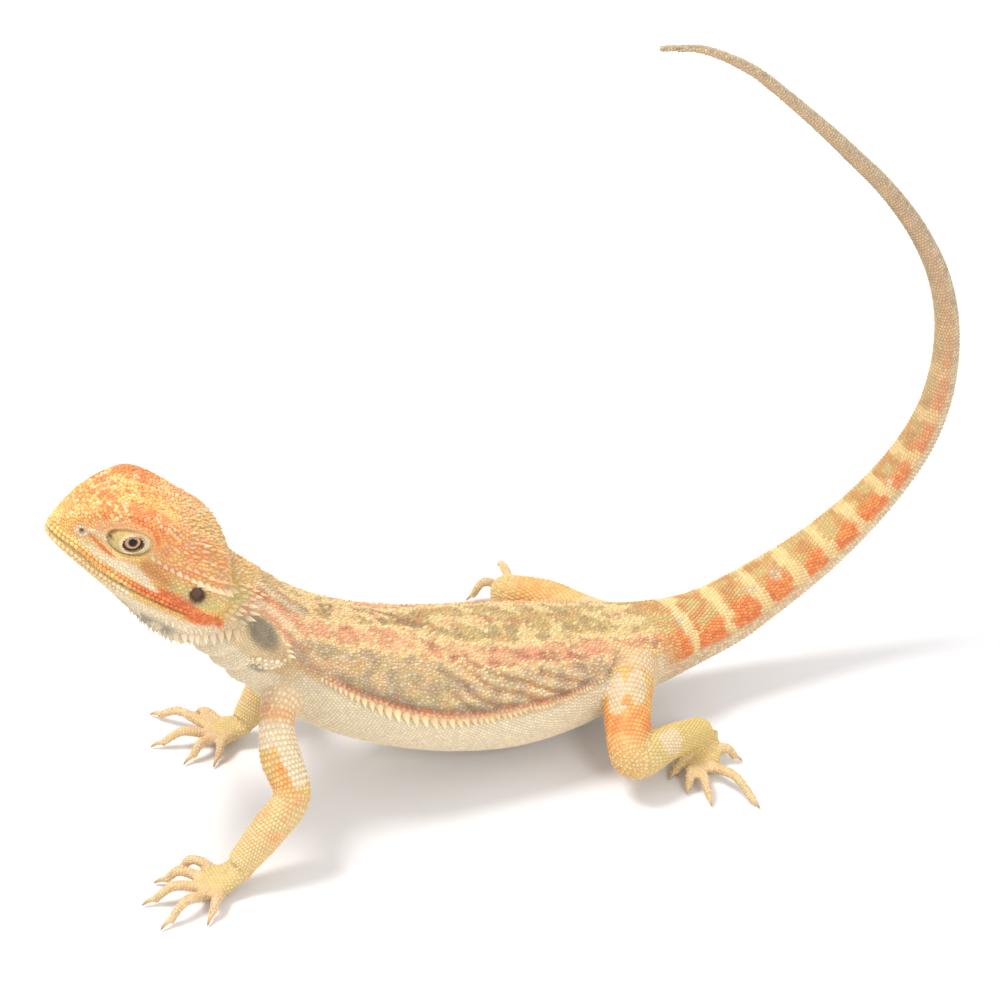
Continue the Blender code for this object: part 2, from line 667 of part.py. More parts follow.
def main():
    for obj in list(bpy.data.objects):
        bpy.data.objects.remove(obj)
    flesh_objects()
    head_organs()
    claws()
    centre_on_origin()


if __name__ == "__main__":
    main()
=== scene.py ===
"""The looks of a life-size bearded dragon: one skin with folds and lids, a coat of solid scales and spikes
over it, eyes, eardrums and claws, on a plain pale floor.

Sizes are millimetres in the animal's own directions, as in its solids: +X runs from head to tail, +Y is the
animal's right and +Z is up. placed() turns them into the frame's metres.
"""

import math

import bmesh
import bpy
import numpy as np
from mathutils import Matrix, Vector
from mathutils.bvhtree import BVHTree
from mathutils.kdtree import KDTree
from mathutils.noise import noise as perlin


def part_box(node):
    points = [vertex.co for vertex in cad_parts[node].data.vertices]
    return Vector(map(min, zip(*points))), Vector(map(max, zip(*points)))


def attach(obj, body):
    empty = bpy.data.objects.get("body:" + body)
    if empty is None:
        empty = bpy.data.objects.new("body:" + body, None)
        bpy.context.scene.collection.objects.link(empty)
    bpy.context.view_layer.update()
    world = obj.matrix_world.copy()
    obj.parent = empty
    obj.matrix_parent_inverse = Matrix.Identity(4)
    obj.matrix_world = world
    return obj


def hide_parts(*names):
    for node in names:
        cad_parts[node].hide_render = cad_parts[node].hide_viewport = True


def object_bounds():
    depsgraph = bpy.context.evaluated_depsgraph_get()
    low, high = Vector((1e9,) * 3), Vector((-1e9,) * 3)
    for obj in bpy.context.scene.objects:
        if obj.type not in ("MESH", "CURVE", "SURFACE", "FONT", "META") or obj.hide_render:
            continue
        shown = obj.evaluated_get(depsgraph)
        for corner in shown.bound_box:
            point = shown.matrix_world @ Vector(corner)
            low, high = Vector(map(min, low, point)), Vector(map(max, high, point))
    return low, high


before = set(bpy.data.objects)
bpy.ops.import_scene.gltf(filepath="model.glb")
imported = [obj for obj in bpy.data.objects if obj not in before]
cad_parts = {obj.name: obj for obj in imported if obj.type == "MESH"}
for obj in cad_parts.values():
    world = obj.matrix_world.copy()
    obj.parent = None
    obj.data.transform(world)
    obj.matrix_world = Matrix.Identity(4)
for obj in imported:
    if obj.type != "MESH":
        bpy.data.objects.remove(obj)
CAD_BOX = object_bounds()

MM = 0.001
COAT_DEPTH = 0.35  # how far the bare skin lies inside the outline of the solids
SKIN_GRAIN = 0.73
RANDOM = np.random.default_rng(11)

# Head: the mouth line starts at HEAD_TIP and the head looks along its own axis from there.
HEAD_TIP = (-73.3, 7.9, 71.0)
HEAD_YAW = math.radians(6)
HEAD_PITCH = math.radians(31)
HEAD_ROLL = math.radians(3)
HEAD_LENGTH = 36

# Profiles of the head against the distance back from its tip: heights above the mouth line, and half widths.
CROWN_HEIGHT = (
    (0, 2.8), (2, 7.6), (5, 11.3), (8, 13.2), (12, 14.4), (17, 14.6), (24, 14.2), (30, 13.2), (33, 11.6),
    (36, 8.8),
)
CANTHUS_WIDTH = (
    (0, 1.4), (2, 3.4), (5, 5.8), (8, 7.9), (12, 9.9), (17, 10.2), (24, 9.6), (30, 9.4), (36, 8.0),
)
CANTHUS_HEIGHT = (
    (0, 2.6), (2, 6.8), (5, 10.2), (8, 12.1), (12, 13.5), (17, 13.7), (24, 12.8), (30, 11.6), (33, 10.2),
    (36, 7.8),
)
CHEEK_WIDTH = (
    (0, 1.4), (2, 3.4), (5, 5.2), (9, 6.9), (13, 8.7), (18, 10.8), (26, 14.0), (31, 14.6), (36, 13.0),
)
CHEEK_HEIGHT = ((0, 1.2), (5, 3.2), (13, 5.4), (18, 5.6), (26, 5.6), (39, 5.4))
LIP_WIDTH = (
    (0, 1.4), (2, 3.3), (5, 5.1), (9, 7.2), (13, 9.2), (18, 11.4), (26, 14.2), (31, 14.8), (36, 12.8),
)
JAW_WIDTH = (
    (0, 1.2), (2, 3.0), (5, 4.6), (9, 6.0), (13, 7.4), (18, 9.4), (26, 12.4), (31, 13.0), (36, 11.0),
)
JAW_HEIGHT = ((0, -0.8), (5, -2.0), (9, -3.0), (13, -4.0), (18, -5.2), (26, -7.0), (36, -7.6))
CHIN_HEIGHT = (
    (0, -1.3), (2, -2.0), (5, -3.2), (9, -4.5), (13, -5.7), (18, -7.5), (26, -10.8), (31, -12.2), (36, -12.2),
)
CROWN_BEND, CHIN_BEND, CHIN_FULLNESS = 0.55, 0.5, 0.75
HEAD_MIDDLE = 3.0  # height of the head's middle line above its mouth line
HEAD_CORNERS = 72  # corners of each section of the head's skin

EYE_RADIUS = 3.8
EYE_BACK, EYE_SIDE, EYE_UP = 13.4, 6.0, 8.0
EAR_RADIUS = 1.6
EAR_BACK, EAR_UP = 28.5, 4.4

# Neck, trunk and root of the tail: place of the widest line (x, y, z), half width, height and depth from it.
TRUNK = (
    (-49, 6.0, 57.0, 9.0, 7.0, 8.0),
    (-44, 5.2, 52.0, 10.7, 8.7, 9.9),
    (-39.5, 4.3, 47.2, 11.6, 9.3, 10.5),
    (-35, 3.3, 42.6, 12.3, 9.6, 11.0),
    (-30.5, 2.3, 38.3, 13.2, 10.1, 11.8),
    (-25, 1.4, 34.2, 14.3, 10.7, 12.9),
    (-17, 0.5, 29.3, 15.8, 11.5, 14.2),
    (-7, 0.0, 25.0, 17.0, 12.0, 15.2),
    (6, 0.0, 21.0, 18.0, 12.2, 16.2),
    (20, 0.0, 18.8, 18.0, 11.6, 16.5),
    (32, 0.0, 17.6, 16.2, 10.2, 14.6),
    (43, 0.2, 16.8, 13.0, 8.8, 12.0),
    (54, 1.0, 15.8, 10.0, 7.9, 9.1),
    (64, 1.9, 15.9, 7.9, 7.2, 7.7),
    (72.3, 2.3, 17.6, 7.2, 7.1, 7.1),
)
# The rest of the tail: place of its middle and its radius.
TAIL = (
    (79.8, 2.7, 20.6, 6.6), (89.2, 3.2, 24.8, 5.9), (97.2, 3.6, 29.4, 5.4), (105.5, 3.8, 35.8, 4.85),
    (112, 3.6, 42.7, 4.4), (117.3, 3.2, 50.9, 3.95), (120.5, 2.8, 60.0, 3.5), (121.6, 2.5, 69.7, 3.1),
    (120.9, 2.2, 79.7, 2.8), (118.2, 2.0, 89.8, 2.55), (113.4, 2.0, 99.8, 2.3), (104.9, 2.0, 111.9, 2.05),
    (94.0, 2.2, 123.6, 1.8), (82.4, 2.4, 135.0, 1.5), (70.2, 2.8, 145.4, 1.25), (60.8, 3.0, 150.2, 1.0),
    (52.0, 3.2, 151.6, 0.75),
)
SPINE = (*TRUNK, *((x, y, z, radius, radius, radius) for x, y, z, radius in TAIL))
FLANK_SQUARENESS = 2.15

# Limbs: (x, y, z, half width) inside the body, at the shoulder or hip, midway down the upper limb, at the
# elbow or knee, midway down the lower limb, and at the wrist or ankle.
LIMBS = {
    "left_arm": (
        (-31, -7, 31.5, 5.2), (-35.4, -13.5, 28.6, 3.9), (-36.4, -18.5, 23.6, 4.4),
        (-35.9, -23.6, 17.4, 4.0), (-41.5, -25, 11.5, 4.0), (-48.2, -26, 5.2, 3.3),
    ),
    "right_arm": (
        (-31, 7, 31.5, 5.2), (-30, 13.5, 28.6, 3.9), (-27, 20, 24, 4.3),
        (-23, 25.6, 19, 4.0), (-27, 22.4, 12, 4.0), (-32.6, 19.8, 5.2, 3.3),
    ),
    "left_leg": (
        (45, -6, 16.5, 6.8), (41.8, -13, 16, 6.0), (37.9, -22, 12.5, 5.0),
        (36.2, -28.4, 9.4, 4.6), (46, -25.2, 8.6, 3.9), (56.2, -20.6, 5.6, 3.3),
    ),
    "right_leg": (
        (45, 6, 16.5, 6.8), (41.4, 12.5, 17, 6.0), (36.4, 21, 18.2, 4.7),
        (30.8, 26, 18, 4.3), (36.5, 32, 12.4, 4.4), (44.2, 38.2, 5.6, 3.5),
    ),
}

# Hands and feet: the wrist or ankle, the middle of the palm, and each digit's root, highest point and tip.
PAW_HALF_WIDTH, PAW_HALF_HEIGHT = 4.4, 2.5
PALM_SECTIONS = ((-0.2, 3.4), (0.5, 4.0), (1.0, PAW_HALF_WIDTH), (1.45, 2.7))
DIGIT_START = 0.45
FEET = {
    "left_hand": (
        (-48.2, -26, 4.2), (-54, -26.2, 2.15),
        ((-53.0, -22.8, 2.6), (-56.2, -19.2, 4.0), (-58.2, -18.0, 1.0)),
        ((-55.6, -24.0, 2.6), (-59.6, -21.4, 3.8), (-62.2, -20.2, 1.0)),
        ((-56.8, -26.2, 2.6), (-61.8, -25.6, 3.8), (-66.0, -25.2, 1.0)),
        ((-56.2, -28.6, 2.6), (-61.4, -31.2, 3.8), (-64.8, -32.6, 1.0)),
        ((-53.6, -29.6, 2.6), (-55.2, -32.4, 3.4), (-56.6, -34.0, 1.0)),
    ),
    "right_hand": (
        (-32.6, 19.8, 4.2), (-37.2, 21.8, 2.15),
        ((-36.6, 19.0, 2.6), (-39.0, 16.0, 3.6), (-40.6, 14.2, 1.0)),
        ((-39.2, 19.4, 2.6), (-43.0, 17.6, 3.8), (-45.6, 16.6, 1.0)),
        ((-40.4, 21.6, 2.6), (-45.8, 22.8, 3.8), (-50.2, 23.8, 1.0)),
        ((-39.8, 24.4, 2.6), (-44.4, 30.2, 3.8), (-47.8, 34.0, 1.0)),
        ((-37.2, 25.2, 2.6), (-39.2, 28.8, 3.4), (-40.4, 30.8, 1.0)),
    ),
    "left_foot": (
        (56.2, -20.6, 4.4), (53.6, -25.6, 2.15),
        ((51.0, -25.4, 2.6), (48.2, -26.2, 3.0), (46.6, -26.8, 1.0)),
        ((50.4, -27.8, 2.6), (48.4, -30.8, 3.6), (47.4, -32.2, 1.0)),
        ((51.6, -29.2, 2.6), (50.2, -34.0, 3.8), (49.8, -37.4, 1.0)),
        ((54.2, -29.0, 2.6), (56.6, -35.4, 3.8), (58.2, -41.6, 1.0)),
        ((57.0, -24.2, 2.6), (59.4, -25.6, 3.6), (61.2, -26.6, 1.0)),
    ),
    "right_foot": (
        (44.2, 38.2, 4.4), (42.6, 44.0, 2.15),
        ((39.6, 42.8, 2.6), (37.6, 41.6, 3.0), (36.0, 41.0, 1.0)),
        ((39.2, 44.8, 2.6), (36.0, 45.0, 3.4), (34.0, 45.2, 1.0)),
        ((39.2, 47.4, 2.8), (34.4, 50.2, 5.2), (31.6, 50.8, 1.2)),
        ((41.2, 48.4, 2.6), (41.6, 55.2, 4.0), (43.0, 61.4, 1.2)),
        ((45.2, 43.2, 2.6), (48.4, 45.4, 3.8), (50.2, 46.6, 1.2)),
    ),
}
TOE_ROOT_RADIUS, TOE_TIP_RADIUS = 1.3, 1.05
CLAW_LENGTH = {"hand": 2.3, "foot": 1.4}
CLAW_ROOT_RADIUS = {"hand": 0.55, "foot": 0.46}
CLAW_TIP_HEIGHT = 0.4


# ---------------------------------------------------------------- curves and tubes


def profile(points, x):
    """A smooth curve through a few (x, value) points, read at x, which may be an array."""
    xs, values = np.array(points, float).T
    slopes = np.gradient(values, xs)
    i = np.clip(np.searchsorted(xs, x) - 1, 0, len(xs) - 2)
    width = xs[i + 1] - xs[i]
    t = np.clip((x - xs[i]) / width, 0, 1)
    start = (1 + 2 * t) * (1 - t) ** 2 * values[i] + t * (1 - t) ** 2 * width * slopes[i]
    end = t * t * (3 - 2 * t) * values[i + 1] - t * t * (1 - t) * width * slopes[i + 1]
    return start + end


def ramp(low, high, x):
    """0 below low, 1 above high and a soft step between."""
    t = np.clip((x - low) / (high - low), 0, 1)
    return t * t * (3 - 2 * t)


def bump(x, middle, width):
    """1 at the middle, falling softly to 0 a couple of widths away."""
    return np.exp(-(((x - middle) / width) ** 2))


def fall(low, high, x):
    """1 below low and 0 above high."""
    return 1 - ramp(low, high, x)


def between(rise, full, drop, end, x):
    """1 from full to drop, falling softly to 0 at rise and at end."""
    return ramp(rise, full, x) * fall(drop, end, x)


def distance(points, spot):
    return np.linalg.norm(points - spot, axis=-1)


def unit(vectors):
    return vectors / np.maximum(np.linalg.norm(vectors, axis=-1, keepdims=True), 1e-9)


def smooth_rows(rows, step):
    """Rows of numbers along the smooth curve through the given ones, about step apart along x, y, z."""
    rows = np.array(rows, float)
    reach = np.concatenate([[0], np.cumsum(np.linalg.norm(np.diff(rows[:, :3], axis=0), axis=1))])
    count = max(3, int(round(reach[-1] / step)) + 1)
    at = np.linspace(0, reach[-1], count)
    return np.stack([profile(list(zip(reach, column)), at) for column in rows.T], axis=1)


def head_axes():
    """The head's forward, left and up directions."""
    turn = Matrix.Rotation(-HEAD_YAW, 3, "Z") @ Matrix.Rotation(HEAD_PITCH, 3, "Y")
    forward, left, up = turn @ Vector((-1, 0, 0)), turn @ Vector((0, -1, 0)), turn @ Vector((0, 0, 1))
    roll = Matrix.Rotation(-HEAD_ROLL, 3, forward)
    return np.array(forward), np.array(roll @ left), np.array(roll @ up)


FORWARD, LEFT, UP = head_axes()


def head_point(back, left, up):
    """A point of the head, measured back, left and up from the front of the mouth line."""
    return np.array(HEAD_TIP) - back * FORWARD + left * LEFT + up * UP


def head_place(points):
    """How far back, left and up each point lies in the head."""
    away = points - np.array(HEAD_TIP)
    return -away @ FORWARD, away @ LEFT, away @ UP


def toe_ahead(top, tip):
    """The way a digit's end faces."""
    return unit((np.array(tip) - np.array(top)) * (1, 1, 0.3))


class Tube:
    """A stretch of the body round its own middle line, which also tells where a point lies on it."""

    def __init__(self, name, rows, step, side_hint=(0, -1, 0), flatness=1.0, squareness=2.0):
        rows = np.array(rows, float)
        if rows.shape[1] == 4:
            rows = np.column_stack([rows, rows[:, 3] * flatness, rows[:, 3] * flatness])
        self.name, self.squareness = name, squareness
        self.rows = smooth_rows(rows, step)
        self.middle, self.half, self.above, self.below = self.rows[:, :3], *self.rows[:, 3:6].T
        self.reach = np.concatenate([[0], np.cumsum(np.linalg.norm(np.diff(self.middle, axis=0), axis=1))])
        self.length = self.reach[-1]
        self.step = self.reach[1]
        self.way = unit(np.gradient(self.middle, axis=0))
        side, sides = np.array(side_hint, float), []
        for way in self.way:
            side = unit(side - way * (side @ way))
            sides.append(side)
        self.side = np.array(sides)
        self.up = np.cross(self.side, self.way)

    def read(self, values, along):
        values = np.asarray(values)
        if values.ndim == 1:
            return np.interp(along, self.reach, values)
        return np.stack([np.interp(along, self.reach, column) for column in values.T], axis=-1)

    def surface(self, along, angle, inset=0.0):
        """Points of the tube's surface. Angle 0 is its side, a quarter turn is its top."""
        c, s = np.cos(angle), np.sin(angle)
        c = np.sign(c) * np.abs(c) ** (2 / self.squareness)
        s = np.sign(s) * np.abs(s) ** (2 / self.squareness)
        half = self.read(self.half, along)
        tall = np.where(s > 0, self.read(self.above, along), self.read(self.below, along))
        thin = np.minimum(inset, 0.12 * half)
        out = (half - thin) * c, (tall - thin) * s
        sideways, upwards = self.read(self.side, along), self.read(self.up, along)
        return self.read(self.middle, along) + out[0][..., None] * sideways + out[1][..., None] * upwards

    def girth(self, along):
        tall = 0.5 * (self.read(self.above, along) + self.read(self.below, along))
        return math.pi * (self.read(self.half, along) + tall)

    def locate(self, points):
        """How far along each point lies, at what angle, and how far out as a share of the surface's."""
        nearest = np.empty(len(points), int)
        for i in range(0, len(points), 4000):
            gaps = points[i : i + 4000, None, :] - self.middle[None]
            nearest[i : i + 4000] = np.einsum("ijk,ijk->ij", gaps, gaps).argmin(axis=1)
        away = points - self.middle[nearest]
        past = np.einsum("ij,ij->i", away, self.way[nearest])
        x = np.einsum("ij,ij->i", away, self.side[nearest]) / self.half[nearest]
        y = np.einsum("ij,ij->i", away, self.up[nearest])
        y = y / np.where(y > 0, self.above[nearest], self.below[nearest])
        out = (np.abs(x) ** self.squareness + np.abs(y) ** self.squareness) ** (1 / self.squareness)
        end = np.maximum(np.abs(past) - self.step, 0) / self.half[nearest]
        return self.reach[nearest] + past, np.arctan2(y, x), out + end

    def solid(self, corners, inset):
        turns = np.arange(corners) * 2 * math.pi / corners
        return closed_tube([self.surface(np.full(corners, along), turns, inset) for along in self.reach])


def closed_tube(rings):
    """One closed tube through the rings, its ends filled, as a bmesh in metres."""
    rings = np.array(rings)
    last, sides = len(rings) - 1, rings.shape[1]
    bm = bmesh.new()
    bmesh.ops.create_grid(bm, x_segments=last, y_segments=sides, size=0.5)
    for vert in bm.verts:
        i = round((vert.co.x + 0.5) * last)
        j = round((vert.co.y + 0.5) * sides) % sides
        vert.co = rings[i, j] * MM
    bmesh.ops.remove_doubles(bm, verts=bm.verts, dist=1e-6)
    bmesh.ops.holes_fill(bm, edges=bm.edges, sides=0)
    bmesh.ops.recalc_face_normals(bm, faces=bm.faces)
    return bm


def head_outline(back):
    """Half a section of the head, from the crown's middle down to the chin: (half width, height)."""
    crown, canthus_height = profile(CROWN_HEIGHT, back), profile(CANTHUS_HEIGHT, back)
    jaw, chin = profile(JAW_HEIGHT, back), profile(CHIN_HEIGHT, back)
    canthus, jaw_width = profile(CANTHUS_WIDTH, back), profile(JAW_WIDTH, back)
    return (
        (0, crown),
        (CROWN_BEND * canthus, 0.5 * (crown + canthus_height)),
        (canthus, canthus_height),
        (profile(CHEEK_WIDTH, back), profile(CHEEK_HEIGHT, back)),
        (profile(LIP_WIDTH, back), 0),
        (jaw_width, jaw),
        (CHIN_BEND * jaw_width, jaw + CHIN_FULLNESS * (chin - jaw)),
        (0, chin),
    )


def head_ring(back):
    """The whole section there, as a smooth closed curve through the outline and its mirror image."""
    half = head_outline(back)
    outline = [*half, *[(-x, y) for x, y in reversed(half[1:-1])]]
    rounds = [*outline[-2:], *outline, *outline[:3]]
    at = np.arange(HEAD_CORNERS) * len(outline) / HEAD_CORNERS
    across = profile([(i - 2, point[0]) for i, point in enumerate(rounds)], at)
    upward = profile([(i - 2, point[1]) for i, point in enumerate(rounds)], at)
    size = np.hypot(across, upward - HEAD_MIDDLE)
    shrink = 1 - np.minimum(COAT_DEPTH, 0.12 * size) / np.maximum(size, 0.1)
    across, upward = across * shrink, HEAD_MIDDLE + (upward - HEAD_MIDDLE) * shrink
    return [head_point(back, x, y) for x, y in zip(across, upward)]


def head_rows():
    """The head as a tube round its own middle line, to tell where a point lies on it."""
    rows = []
    for back in range(0, HEAD_LENGTH + 1, 2):
        above, below = profile(CROWN_HEIGHT, back) - HEAD_MIDDLE, HEAD_MIDDLE - profile(CHIN_HEIGHT, back)
        rows.append((*head_point(back, 0, HEAD_MIDDLE), profile(LIP_WIDTH, back), max(above, 0.8), below))
    return rows


def digit_rows(palm, root, top, tip):
    start = DIGIT_START * np.array(palm) + (1 - DIGIT_START) * np.array(root)
    middle = 0.5 * (TOE_ROOT_RADIUS + TOE_TIP_RADIUS)
    radii = (TOE_ROOT_RADIUS, TOE_ROOT_RADIUS, middle, TOE_TIP_RADIUS)
    return [(*place, radius) for place, radius in zip((start, root, top, tip), radii)]


def palm_tube(name, wrist, palm):
    reach = np.array(palm, float) - np.array(wrist, float)
    rows = [(*(np.array(wrist) + share * reach), half) for share, half in PALM_SECTIONS]
    side = np.cross(reach, (0, 0, 1))
    return Tube(name, rows, 0.8, side, PAW_HALF_HEIGHT / PAW_HALF_WIDTH)


def body_tubes():
    """Every stretch of the body, by name."""
    tubes = {
        "head": Tube("head", head_rows(), 1.0, LEFT),
        "spine": Tube("spine", SPINE, 1.0, squareness=FLANK_SQUARENESS),
    }
    for name, rows in LIMBS.items():
        tubes[name] = Tube(name, rows, 0.8)
    for paw, (wrist, palm, *digits) in FEET.items():
        tubes[paw] = palm_tube(paw, wrist, palm)
        for number, digit in enumerate(digits, 1):
            tubes[f"{paw}_{number}"] = Tube(f"{paw}_{number}", digit_rows(palm, *digit), 0.6)
    return tubes


TUBES = body_tubes()
BODY = TUBES["spine"]


def is_paw(name):
    return "hand" in name or "foot" in name


def eye_centre(side):
    return head_point(EYE_BACK, side * EYE_SIDE, EYE_UP)


def frame_shift():
    """From the animal's own directions to the frame, worked out from where the solid eyeballs lie."""
    shifts = []
    for name, side in (("left_eye", 1), ("right_eye", -1)):
        low, high = np.array(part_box(name))
        shifts.append(0.5 * (low + high) / MM - eye_centre(side))
    return np.mean(shifts, axis=0)


SHIFT = frame_shift()


def placed(points):
    return (np.asarray(points) + SHIFT) * MM


# ---------------------------------------------------------------- the skin


def shown(name, mesh, finish):
    """An object in the scene that shows the mesh."""
    if finish:
        mesh.materials.append(finish)
    obj = bpy.data.objects.new(name, mesh)
    bpy.context.scene.collection.objects.link(obj)
    return obj


def joined(name, shells, finish=None):
    """One object holding all the given bmeshes."""
    mesh = bpy.data.meshes.new(name)
    whole = bmesh.new()
    for shell in shells:
        shell.to_mesh(mesh)
        whole.from_mesh(mesh)
        shell.free()
    whole.to_mesh(mesh)
    whole.free()
    return shown(name, mesh, finish)


def add_modifier(obj, kind, **settings):
    modifier = obj.modifiers.new(kind.title(), kind)
    for key, value in settings.items():
        setattr(modifier, key, value)


def apply_modifiers(obj):
    """Puts the shape that the modifiers give into the object's own mesh."""
    graph = bpy.context.evaluated_depsgraph_get()
    mesh = bpy.data.meshes.new_from_object(obj.evaluated_get(graph))
    obj.modifiers.clear()
    obj.data = mesh


def fused_skin():
    """All the flesh as one closed surface, a coat's depth inside the solids."""
    backs = [0, 0.4, *np.arange(1, HEAD_LENGTH + 0.1, 0.8)]
    shells = [closed_tube([head_ring(back) for back in backs])]
    for name, tube in TUBES.items():
        if name != "head":
            inset = 0.12 if name[-1].isdigit() else COAT_DEPTH
            shells.append(tube.solid(64 if name == "spine" else 24, inset))
    skin = joined("skin", shells)
    add_modifier(skin, "REMESH", mode="VOXEL", voxel_size=SKIN_GRAIN * MM)
    add_modifier(skin, "SMOOTH", factor=0.5, iterations=3)
    apply_modifiers(skin)
    return skin


def corners_of(bm):
    """The corners of a bmesh, in millimetres."""
    return np.array([vert.co for vert in bm.verts]) / MM


def rounded(bm, verts, times):
    """Smooths the given corners a number of times over."""
    for _ in range(times):
        bmesh.ops.smooth_vert(bm, verts=verts, factor=0.5, use_axis_x=True, use_axis_y=True, use_axis_z=True)


def refine(bm, inside):
    """Splits the faces of one part of the skin, to carry finer shapes, and rounds the new corners."""
    edges = [edge for edge in bm.edges if inside(edge.verts[0].co) and inside(edge.verts[1].co)]
    bmesh.ops.subdivide_edges(bm, edges=edges, cuts=1, use_grid_fill=True)
    rounded(bm, [vert for vert in bm.verts if inside(vert.co)], 2)


FACE_END = 33  # how far back the lids, nostrils, lips and ears reach


def on_face(co):
    return head_place(np.array(co) / MM)[0] < FACE_END


EYES = {side: eye_centre(side) for side in (1, -1)}
EYE_REGION = 6.2


def near_eye(co):
    return any(distance(np.array(co) / MM, eye) < EYE_REGION for eye in EYES.values())


LID_THICKNESS = 0.32
LID_TILT = math.radians(24)  # how far the lids slope up towards the nose, as seen along the head
LID_PLACE, LID_HALF_LENGTH, LID_HALF_HEIGHT = (-0.2, -0.45), 3.75, 2.65
OPENING_PLACE, OPENING_HALF_LENGTH, OPENING_HALF_HEIGHT = (0.6, -0.35), 1.85, 1.62
EYE_TURN = {"forward": 0.09, "up": -0.02}  # how much the eyes face forward and up


def eye_axes(side):
    """The ways out of an eye, back along the head and up its opening."""
    out = unit(side * LEFT + EYE_TURN["forward"] * FORWARD + EYE_TURN["up"] * UP)
    back = unit(-FORWARD - out * (-FORWARD @ out))
    return out, back, np.cross(out, back) * side


def eye_place(points, side):
    """How far out of, back along and up the eye's lids each point lies."""
    out, back, up = eye_axes(side)
    away = points - EYES[side]
    along = math.cos(LID_TILT) * back + math.sin(LID_TILT) * up
    across = math.cos(LID_TILT) * up - math.sin(LID_TILT) * back
    return away @ out, away @ along, away @ across


def lid_places(points, side):
    """How far out of the eye each point lies, and its share of the way across the lids and the opening."""
    out, back, up = eye_place(points, side)
    ring = np.hypot((back - LID_PLACE[0]) / LID_HALF_LENGTH, (up - LID_PLACE[1]) / LID_HALF_HEIGHT)
    behind, above = back - OPENING_PLACE[0], up - OPENING_PLACE[1]
    rim = np.hypot(behind / OPENING_HALF_LENGTH, above / OPENING_HALF_HEIGHT)
    return out, ring, rim


def lids(points):
    """Wraps the skin round each eyeball and opens it between the lids."""
    points = points.copy()
    for side, eye in EYES.items():
        out, ring, opening = lid_places(points, side)
        reach = distance(points, eye)
        near = (out > 0) & (ring < 1.7) & (reach < EYE_REGION + 1.5)
        lid = EYE_RADIUS + LID_THICKNESS + 0.12 * bump(opening, 1.12, 0.12)
        lid = np.where(opening < 1.0, EYE_RADIUS - 0.7, lid)
        wanted = np.where(near, mix(reach, lid, fall(0.9, 1.25, ring)), reach)
        points = eye + unit(points - eye) * wanted[:, None]
        crease = near * bump(ring, 1.12, 0.13) * 0.35
        points -= crease[:, None] * eye_axes(side)[0]
    return points


def bump_at(points, spot, sizes):
    """1 at a spot of the head and its mirror image, falling off over sizes back, out and up."""
    back, left, up = head_place(points)
    gap = ((back - spot[0]) / sizes[0]) ** 2 + ((np.abs(left) - spot[1]) / sizes[1]) ** 2
    return np.exp(-gap - ((up - spot[2]) / sizes[2]) ** 2)


NOSTRIL = (4.9, 4.3, 4.4)
MOUTH_CORNER = 29.0
# Lines of the head against the distance back from its tip: the mouth, and the fold from nostril to eye.
MOUTH_LINE = ((0, 0.4), (5, 0.0), (11, -1.1), (16, -1.4), (20, -1.2), (25, -0.7), (30, -0.6), (39, -1.7))
EYE_FOLD = ((5.5, 5.7), (8, 5.8), (9.7, 5.3), (11.3, 4.6))
# Soft swellings and hollows of the face: height, place and sizes, back, out and up.
FACE_FORMS = (
    (0.35, (13, 9.6, 13.0), (5.5, 1.6, 1.0)),
    (-0.4, (8.6, 7.4, 7.6), (1.6, 3, 1.6)),
    (-0.45, (19.5, 10.8, 8.0), (2.2, 3, 2.2)),
    (0.35, (24.5, 13.5, 1.5), (4.5, 4, 2.5)),
    (0.5, (24.5, 11.5, 8.6), (5.0, 4, 1.3)),
    (0.25, NOSTRIL, (1.3, 2, 1.2)),
    (-0.9, NOSTRIL, (0.5, 2, 0.45)),
)


def face_relief(points):
    """How far the head's skin stands out of its smooth form: brows, cheeks, nostrils, ears and mouth line."""
    back, left, up = head_place(points)
    relief = sum(height * bump_at(points, spot, sizes) for height, spot, sizes in FACE_FORMS)
    fold = between(4.8, 6.2, 10.8, 12.2, back) * (np.abs(left) > 3)
    above = up - profile(EYE_FOLD, back)
    relief += 0.4 * fold * (bump(above, 0, 0.4) - 0.7 * bump(above, -0.9, 0.4))
    ear = np.hypot(back - EAR_BACK, up - EAR_UP)
    relief += (np.abs(left) > 9) * (0.3 * bump(ear, 2.2, 0.5) - 1.5 * fall(1.1, 1.7, ear))
    lips = between(-1.0, 1.0, MOUTH_CORNER - 2, MOUTH_CORNER + 1, back)
    return relief - 0.5 * lips * bump(up - profile(MOUTH_LINE, back), 0, 0.24)


def flank_folds(points, along, angle):
    """The slanting folds of loose skin before the hips, 1 on a crest and -1 in a valley."""
    sway = 5.0 * (noise(points, 9.0, 40) - 0.5) + 1.6 * (noise(points, 3.5, 41) - 0.5)
    slant = 0.8 * along + 26.0 * np.sin(angle) + sway
    return np.sin(slant * 2 * math.pi / 6.4)


def body_relief(points):
    """How far the loose skin of neck, flanks and hips stands out of its smooth form."""
    along, angle, out = BODY.locate(points)
    own = fall(1.05, 1.2, out)
    neck = between(3, 8, 22, 30, along) * (0.35 + np.maximum(-np.sin(angle), 0))
    relief = 0.45 * neck * own * np.sin(along * 2 * math.pi / 4.6 + 0.6 * np.sin(3 * angle))
    flank = between(58, 68, 92, 100, along) * bump(np.sin(angle), 0.18, 0.38)
    flank = flank * (0.35 + 0.9 * noise(points, 6.0, 42))
    relief += 0.36 * flank * own * (flank_folds(points, along, angle) - 0.2)
    for name in ("left_leg", "right_leg"):
        leg_along, _, leg_out = TUBES[name].locate(points)
        root = (leg_along < 11) * ramp(2, 5, leg_along)
        relief += root * (0.5 * bump(leg_out, 1.34, 0.10) - 0.35 * bump(leg_out, 1.14, 0.06))
    return relief


